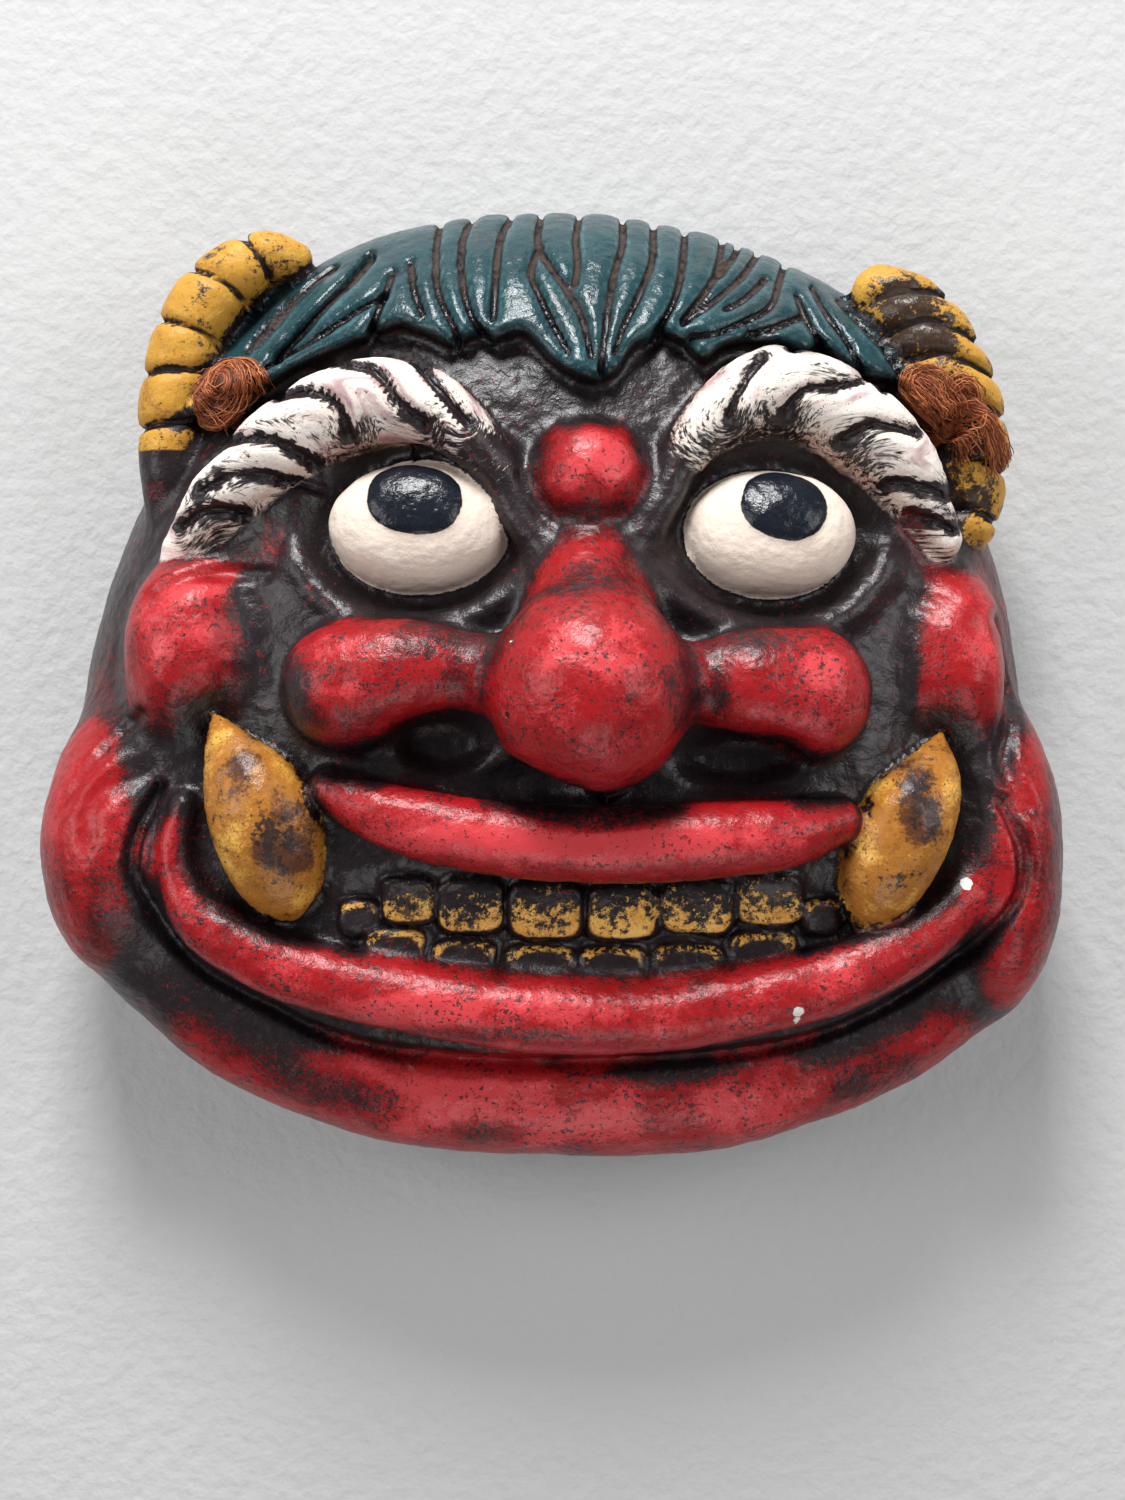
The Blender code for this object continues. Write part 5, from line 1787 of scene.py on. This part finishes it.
@dataclass
class FibreKnot:
    """A knot of loose fibre over one of the cord's holes.

    Attributes:
        node: The CAD's node that it stands for.
        frame: Where face units lie in the model's frame.
        middle: The knot's middle on the plan, in face units.
        width: The knot's width, in metres.
        bundles: Its bundles of fibre.
        core: Balls of packed fibre under them, as across, up, out and radius.
        tangle: The middle and the reach of the single fibres that cross it, as across, up and reach.
        strays: How many of those there are.
        seed: What its chance is drawn from.
        steps: How many points a fibre has between two of its route's.
        rest_above: How far the fibres stay above the skin, in metres.
        dome: How high the crossing fibres go, in shares of the width.
        body: How much of a fibre's own height stays above the skin that it rests on.
    """

    node: str
    frame: FaceFrame
    middle: tuple[float, float]
    width: float
    bundles: tuple[Bundle, ...]
    core: Route
    tangle: tuple[float, float, float]
    strays: int
    seed: int
    steps: int = 6
    rest_above: float = 0.0003
    dome: float = 0.30
    body: float = 0.75

    def strand(self, bundle: Bundle, chance: np.random.Generator) -> Points:
        """One fibre of a bundle.

        Args:
            bundle: The bundle.
            chance: Where its own place and wobble are drawn from.

        Returns:
            The fibre's points, in shares of the knot's width.
        """
        line = through_points(bundle.route, self.steps)
        share = np.linspace(0.0, 1.0, len(line))
        along = np.gradient(line, axis=0)
        side = np.cross(along, np.array([0.0, 0.0, 1.0]))
        side /= np.maximum(np.linalg.norm(side, axis=1), 1e-9)[:, None]
        radius = bundle.spread * math.sqrt(chance.uniform(0.02, 1.0)) * (1.0 + bundle.splay * share**2)
        turn = chance.uniform(0.0, 2 * math.pi) + 2 * math.pi * bundle.twist * share
        wobble = np.cumsum(chance.normal(0.0, 0.006, (len(line), 3)), axis=0) * (0.3 + share[:, None])
        raised = np.array([0.0, 0.0, bundle.flat])
        aside = side * (radius * np.cos(turn))[:, None]
        return line + aside + raised * (radius * np.sin(turn))[:, None] + wobble

    def stray(self, chance: np.random.Generator) -> Points:
        """One fibre that crosses the knot anyhow, over its dome."""
        across, up, reach = self.tangle
        share = np.linspace(0.0, 1.0, 20)
        start, swing = chance.uniform(0.0, 2 * math.pi), chance.uniform(1.2, 4.0)
        turn = start + swing * chance.choice([-1.0, 1.0]) * share
        out = reach * (chance.uniform(0.35, 1.0) + 0.22 * np.sin(share * chance.uniform(3.0, 9.0)))
        flat = np.column_stack([across + np.cos(turn) * out, up + np.sin(turn) * out * 0.85])
        away = np.linalg.norm(flat - (across, up), axis=1) / reach
        high = self.dome * (1.05 - 0.62 * away**2) + chance.uniform(-0.03, 0.03)
        return np.column_stack([flat, high])

    def placed(self, points: Points, way: Vector, skin: BVHTree) -> list[Vector]:
        """Turns points about the knot to the surface, and lifts those that would go into the mask.

        Args:
            points: Points in shares of the knot's width.
            way: Straight out of the blank there.
            skin: The mask's surface.

        Returns:
            The points in the model's frame.
        """
        over = Vector(self.frame.to_model(np.array([*self.middle, 0.0])))
        foot = skin.ray_cast(over + Vector((0.0, 0.0, 0.3)), Vector((0.0, 0.0, -1.0)))[0]
        turn = Vector((0.0, 0.0, 1.0)).rotation_difference(way)
        found = []
        for point in points:
            spot = turn @ (Vector(point) * self.width) + foot
            top = skin.ray_cast(spot + Vector((0.0, 0.0, 0.06)), Vector((0.0, 0.0, -1.0)))[0]
            if top is not None:
                spot.z = max(spot.z, top.z + self.rest_above + self.body * point[2] * self.width)
            found.append(spot)
        return found

    def fibres(self, strands: list[Points], way: Vector, skin: BVHTree) -> bpy.types.Mesh:
        """Draws every fibre as a fine round tube."""
        curve = bpy.data.curves.new(f"{self.node}_fibres", "CURVE")
        curve.dimensions = "3D"
        curve.bevel_depth = FIBRE_DIAMETER / 2
        curve.bevel_resolution = 0
        curve.use_fill_caps = True
        for strand in strands:
            spline = curve.splines.new("POLY")
            spline.points.add(len(strand) - 1)
            for target, place in zip(spline.points, self.placed(strand, way, skin)):
                target.co = (*place, 1.0)
        drawn = bpy.data.objects.new("drawn_fibres", curve)
        mesh = bpy.data.meshes.new_from_object(drawn)
        bpy.data.objects.remove(drawn)
        return mesh

    def build(self, mask: bpy.types.Object, material: bpy.types.Material) -> bpy.types.Object:
        """Builds the knot on the mask.

        Args:
            mask: The finished mask.
            material: The fibre's finish.

        Returns:
            The finished object.
        """
        chance = np.random.default_rng(self.seed)
        strands = [self.strand(bundle, chance) for bundle in self.bundles for _ in range(bundle.fibres)]
        strands += [self.stray(chance) for _ in range(self.strays)]
        skin = BVHTree.FromObject(mask, bpy.context.evaluated_depsgraph_get())
        way = BLANK.outwards(np.array([*self.middle, BLANK.height(*self.middle)]))
        knot = bmesh.new()
        knot.from_mesh(self.fibres(strands, way, skin))
        tone = knot.verts.layers.float.new("strand")
        bmesh.ops.remove_doubles(knot, verts=knot.verts, dist=1e-7)
        tones = chance.uniform(0.1, 1.0, len(strands))
        number = 0
        sides = len(knot.verts) // sum(len(strand) for strand in strands)
        knot.verts.ensure_lookup_table()
        for strand, value in zip(strands, tones):
            for vert in knot.verts[number : number + len(strand) * sides]:
                vert[tone] = value
            number += len(strand) * sides
        # The core's points keep no strand tone, so the finish paints them near its deep tone: painted shade
        # in the knot's depths.
        self.pack_core(knot, way, skin)
        mesh = bpy.data.meshes.new(f"{self.node}_fibres")
        knot.to_mesh(mesh)
        knot.free()
        mesh.shade_smooth()
        mesh.materials.append(material)
        whole = bpy.data.objects.new(mesh.name, mesh)
        bpy.context.scene.collection.objects.link(whole)
        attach(whole, "root")
        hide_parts(self.node)
        return whole

    def pack_core(self, knot: bmesh.types.BMesh, way: Vector, skin: BVHTree) -> None:
        """Adds the packed fibre under the bundles, lumpy and pressed to the mask; it is painted near the
        fibre's deep tone, as painted shade under them.
        """
        for across, up, out, radius in self.core:
            ball = bmesh.ops.create_icosphere(knot, subdivisions=3, radius=radius)["verts"]
            for vert in ball:
                vert.co *= 1.0 + 0.12 * noise.noise(vert.co * 14.0 + Vector((across, up, 3.0)))
            points = np.array([vert.co for vert in ball]) + (across, up, out)
            for vert, place in zip(ball, self.placed(points, way, skin)):
                vert.co = place


@dataclass
class HangingCord:
    """The cord behind the face: three plies of fibre laid round each other.

    Attributes:
        frame: Where face units lie in the model's frame.
        left_end: The cord's straight way into the hollow under the left knot, in face units.
        route: Its way over the table, in face units.
        right_end: Its straight way out to the right knot, in face units.
        plies: How many plies there are.
        ply_radius: One ply's radius, in metres.
        lay_length: The length of one turn of the plies, in metres.
        steps: How finely the route is divided.
        sides: How many flats a ply has round it.
    """

    frame: FaceFrame
    left_end: Route = ((-88.1, 74.5, 49.7), (-84.3, 71.2, 42.8), (-80.4, 67.9, 35.6), (-76.5, 64.6, 28.7))
    route: Route = (
        (-74.0, 62.0, 24.5), (-66.0, 57.0, 13.0), (-54.0, 53.5, 5.4), (-38.0, 53.5, 3.2), (-12.0, 60.0, 3.2),
        (16.0, 63.0, 3.2), (42.0, 58.0, 3.2), (64.0, 53.0, 4.8), (80.0, 53.5, 11.5), (93.0, 59.0, 23.0),
    )  # fmt: skip
    right_end: Route = ((99.2, 64.0, 31.3), (104.0, 67.1, 37.7), (108.8, 70.3, 44.4), (113.5, 73.3, 50.9))
    plies: int = 3
    ply_radius: float = 0.00132
    lay_length: float = 0.019
    steps: int = 10
    sides: int = 10

    @cached_property
    def centreline(self) -> Points:
        """The cord's middle line, in metres."""
        coarse = through_points([*self.left_end, *self.route, *self.right_end], 2)
        return self.frame.to_model(through_points(coarse, self.steps // 2))

    def build(self, material: bpy.types.Material, knots: list[bpy.types.Object]) -> bpy.types.Object:
        """Builds the cord.

        Args:
            material: The fibre's finish.
            knots: The knots at its two ends. Not used.

        Returns:
            The finished object.
        """
        line = self.centreline
        steps = np.linalg.norm(np.diff(line, axis=0), axis=1)
        run = np.concatenate([[0.0], np.cumsum(steps)])
        along = np.gradient(line, axis=0)
        along /= np.linalg.norm(along, axis=1)[:, None]
        side = np.cross(along, np.array([0.0, 1.0, 0.0]))
        side /= np.linalg.norm(side, axis=1)[:, None]
        other = np.cross(along, side)
        curve = bpy.data.curves.new("cord_plies", "CURVE")
        curve.dimensions = "3D"
        curve.bevel_depth = self.ply_radius
        curve.bevel_resolution = (self.sides - 4) // 2
        curve.use_fill_caps = True
        away = CORD_DIAMETER / 2 - self.ply_radius
        for ply in range(self.plies):
            turn = 2 * math.pi * (run / self.lay_length + ply / self.plies)
            spline = curve.splines.new("POLY")
            spline.points.add(len(line) - 1)
            places = line + away * (side * np.cos(turn)[:, None] + other * np.sin(turn)[:, None])
            for target, place in zip(spline.points, places):
                target.co = (*place, 1.0)
        drawn = bpy.data.objects.new("drawn_plies", curve)
        mesh = bpy.data.meshes.new_from_object(drawn)
        bpy.data.objects.remove(drawn)
        mesh.name = "cord_plies"
        tone = mesh.attributes.new("strand", "FLOAT", "POINT")
        tone.data.foreach_set("value", np.full(len(mesh.vertices), 0.45, dtype=np.float32))
        mesh.shade_smooth()
        mesh.materials.clear()
        mesh.materials.append(material)
        cord = bpy.data.objects.new("cord_plies", mesh)
        bpy.context.scene.collection.objects.link(cord)
        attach(cord, "root")
        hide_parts("hanging_cord")
        return cord


def left_knot(frame: FaceFrame) -> FibreKnot:
    """The left knot: a ball of loose turns, with a dull loop at its left."""
    bundles = (
        Bundle(((-0.22, 0.0, 0.2), (-0.42, 0.03, 0.12), (-0.48, 0.14, 0.1), (-0.42, 0.27, 0.12),
                (-0.27, 0.33, 0.18), (-0.19, 0.26, 0.26), (-0.24, 0.1, 0.3)), 34, 0.055),
        Bundle(((-0.28, 0.24, 0.2), (-0.07, 0.37, 0.22), (0.1, 0.4, 0.2), (0.28, 0.34, 0.16),
                (0.42, 0.2, 0.1), (0.48, 0.08, 0.04)), 40, 0.07),
        Bundle(((-0.37, -0.02, 0.24), (-0.1, 0.16, 0.36), (-0.02, 0.27, 0.34), (0.12, 0.3, 0.32),
                (0.25, 0.2, 0.3), (0.31, 0.0, 0.24), (0.22, -0.16, 0.2)), 40, 0.075),
        Bundle(((-0.46, 0.12, 0.08), (-0.43, -0.1, 0.08), (-0.3, -0.27, 0.1), (-0.05, -0.37, 0.1),
                (0.14, -0.3, 0.12), (0.27, -0.15, 0.14), (0.34, 0.02, 0.2)), 44, 0.075),
        Bundle(((0.0, 0.2, 0.34), (0.15, 0.12, 0.36), (0.2, -0.05, 0.34), (0.05, -0.15, 0.32),
                (-0.1, -0.05, 0.34), (-0.05, 0.1, 0.36)), 22, 0.06),
        Bundle(((-0.36, 0.18, 0.2), (-0.3, 0.02, 0.26), (-0.16, -0.12, 0.28), (-0.02, -0.26, 0.2),
                (0.05, -0.4, 0.08)), 24, 0.08),
    )  # fmt: skip
    core = ((-0.2, 0.08, 0.08, 0.22), (0.1, 0.08, 0.1, 0.27), (-0.06, -0.12, 0.06, 0.24))
    return FibreKnot(
        "left_knot", frame, (-89.0, 79.6), 0.0225, bundles, core, (-0.02, 0.02, 0.42), 50, 3
    )


def right_knot(frame: FaceFrame) -> FibreKnot:
    """The right knot: a combed bight, a band over it, a tangle, and a frayed tail."""
    bundles = (
        Bundle(((-0.1, -0.08, 0.1), (-0.34, 0.02, 0.12), (-0.46, 0.15, 0.1), (-0.43, 0.28, 0.1),
                (-0.33, 0.33, 0.12), (-0.25, 0.24, 0.18), (-0.2, 0.09, 0.2),
                (-0.13, -0.03, 0.2)), 56, 0.04, 0.15),
        Bundle(((-0.36, 0.26, 0.12), (-0.29, 0.13, 0.18), (-0.2, 0.02, 0.2),
                (-0.08, -0.09, 0.18)), 40, 0.075, 0.1),
        Bundle(((-0.19, 0.02, 0.18), (-0.17, 0.15, 0.2), (-0.05, 0.21, 0.22), (0.08, 0.2, 0.18),
                (0.17, 0.12, 0.12)), 56, 0.07, 0.2),
        Bundle(((0.02, 0.04, 0.24), (0.18, -0.04, 0.22), (0.33, -0.16, 0.14),
                (0.46, -0.28, 0.06)), 70, 0.075, 0.2, 0.3),
        Bundle(((-0.14, -0.06, 0.14), (-0.02, -0.17, 0.14), (0.08, -0.3, 0.08)), 34, 0.045, 0.2, 1.0),
        Bundle(((-0.26, -0.06, 0.22), (-0.1, -0.09, 0.27), (0.0, -0.09, 0.29),
                (0.13, -0.01, 0.26)), 3, 0.012),
    )  # fmt: skip
    core = (
        (-0.3, 0.16, 0.0, 0.10), (-0.12, 0.08, 0.0, 0.14), (0.08, 0.0, 0.0, 0.17), (0.24, -0.1, 0.0, 0.10),
    )  # fmt: skip
    return FibreKnot(
        "right_knot", frame, (110.5, 72.6), 0.0365, bundles, core, (0.06, -0.04, 0.21), 70, 8, dome=0.26
    )


@dataclass(frozen=True)
class Studio:
    """The pale floor, the soft lights and the camera.

    Attributes:
        frame: Where face units lie in the model's frame.
        camera_place: The camera's place on the face, in face units, with its height.
        focal_length: The lens, in millimetres.
        floor_size: The floor's side, in metres.
        floor_gap: How far the floor lies under the rim, in metres.
    """

    frame: FaceFrame
    camera_place: tuple[float, float, float] = (3.3, -18.0, 635.5)
    focal_length: float = 50.0
    floor_size: float = 6.0
    floor_gap: float = 0.0004

    def camera(self) -> None:
        """Sets the camera at the photograph's viewing angle, looking straight down at the face."""
        data = bpy.data.cameras.new("camera")
        data.lens = self.focal_length
        data.clip_start = 0.01
        camera = bpy.data.objects.new("camera", data)
        camera.location = self.frame.to_model(np.array(self.camera_place))
        bpy.context.scene.collection.objects.link(camera)
        bpy.context.scene.camera = camera

    def light(self, name: str, place: tuple[float, float, float], size: float, power: float) -> None:
        """Adds one square soft light that shines at the mask.

        Args:
            name: The light's name.
            place: Where it stands, in metres.
            size: Its side, in metres.
            power: Its power, in watts.
        """
        data = bpy.data.lights.new(name, "AREA")
        data.size = size
        data.energy = power
        lamp = bpy.data.objects.new(name, data)
        lamp.location = place
        lamp.rotation_mode = "QUATERNION"
        lamp.rotation_quaternion = (-Vector(place)).to_track_quat("-Z", "Y")
        bpy.context.scene.collection.objects.link(lamp)

    def floor(self) -> None:
        """Lays the pale floor."""
        shape = bmesh.new()
        bmesh.ops.create_grid(shape, x_segments=1, y_segments=1, size=self.floor_size / 2)
        bmesh.ops.translate(shape, verts=shape.verts, vec=Vector((0.0, 0.0, -self.floor_gap)))
        mesh = bpy.data.meshes.new("floor")
        shape.to_mesh(mesh)
        shape.free()
        material = bpy.data.materials.new("pale_floor")
        material.use_nodes = True
        table = NodeTable(material.node_tree)
        shader = material.node_tree.nodes["Principled BSDF"]
        shader.inputs["Base Color"].default_value = (0.56, 0.56, 0.56, 1.0)
        shader.inputs["Roughness"].default_value = 0.85
        bump = material.node_tree.nodes.new("ShaderNodeBump")
        bump.inputs["Distance"].default_value = 1.0
        table.plug(bump.inputs["Height"], table.times(table.noise(table.object_place(), 180.0, 4.0), 0.0009))
        table.plug(shader.inputs["Normal"], bump.outputs["Normal"])
        mesh.materials.append(material)
        floor = bpy.data.objects.new("floor", mesh)
        bpy.context.scene.collection.objects.link(floor)

    def build(self) -> None:
        """Sets up the camera, the floor and the lights."""
        self.camera()
        self.floor()
        self.light("top_light", (-0.15, 1.25, 0.78), 0.45, 27.0)
        self.light("left_light", (-1.0, 0.2, 0.85), 0.7, 6.2)
        self.light("right_light", (1.0, 0.3, 0.85), 0.7, 5.8)
        self.light("low_light", (0.1, -1.0, 0.8), 0.7, 3.6)
        world = bpy.data.worlds.new("studio")
        world.use_nodes = True
        world.node_tree.nodes["Background"].inputs["Color"].default_value = (1.0, 1.0, 1.0, 1.0)
        world.node_tree.nodes["Background"].inputs["Strength"].default_value = 0.15
        bpy.context.scene.world = world
        bpy.context.scene.view_settings.view_transform = "Standard"


def main() -> None:
    """Builds the mask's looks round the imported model."""
    logging.basicConfig(level=logging.INFO, format="%(name)s: %(message)s")
    for obj in list(bpy.data.objects):
        bpy.data.objects.remove(obj, do_unlink=True)
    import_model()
    frame = FaceFrame(MASK_WIDTH / FACE_UNITS_ACROSS, FACE_MIDDLE)
    Studio(frame).build()
    groups = EffectGroups()
    painted, bare = PaintedPlaster().build(groups), BarePlaster().build(groups)
    mask = PlasterMask(frame, DemonFace(), PaintPlan()).build(painted, bare)
    log.info("%s: %d faces", mask.name, len(mask.data.polygons))
    fibre = RustFibre().build()
    knots = [knot.build(mask, fibre) for knot in (left_knot(frame), right_knot(frame))]
    for knot in knots:
        log.info("%s: %d faces", knot.name, len(knot.data.polygons))
    cord = HangingCord(frame).build(fibre, knots)
    log.info("%s: %d faces", cord.name, len(cord.data.polygons))
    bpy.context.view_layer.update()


if __name__ == "__main__":
    main()
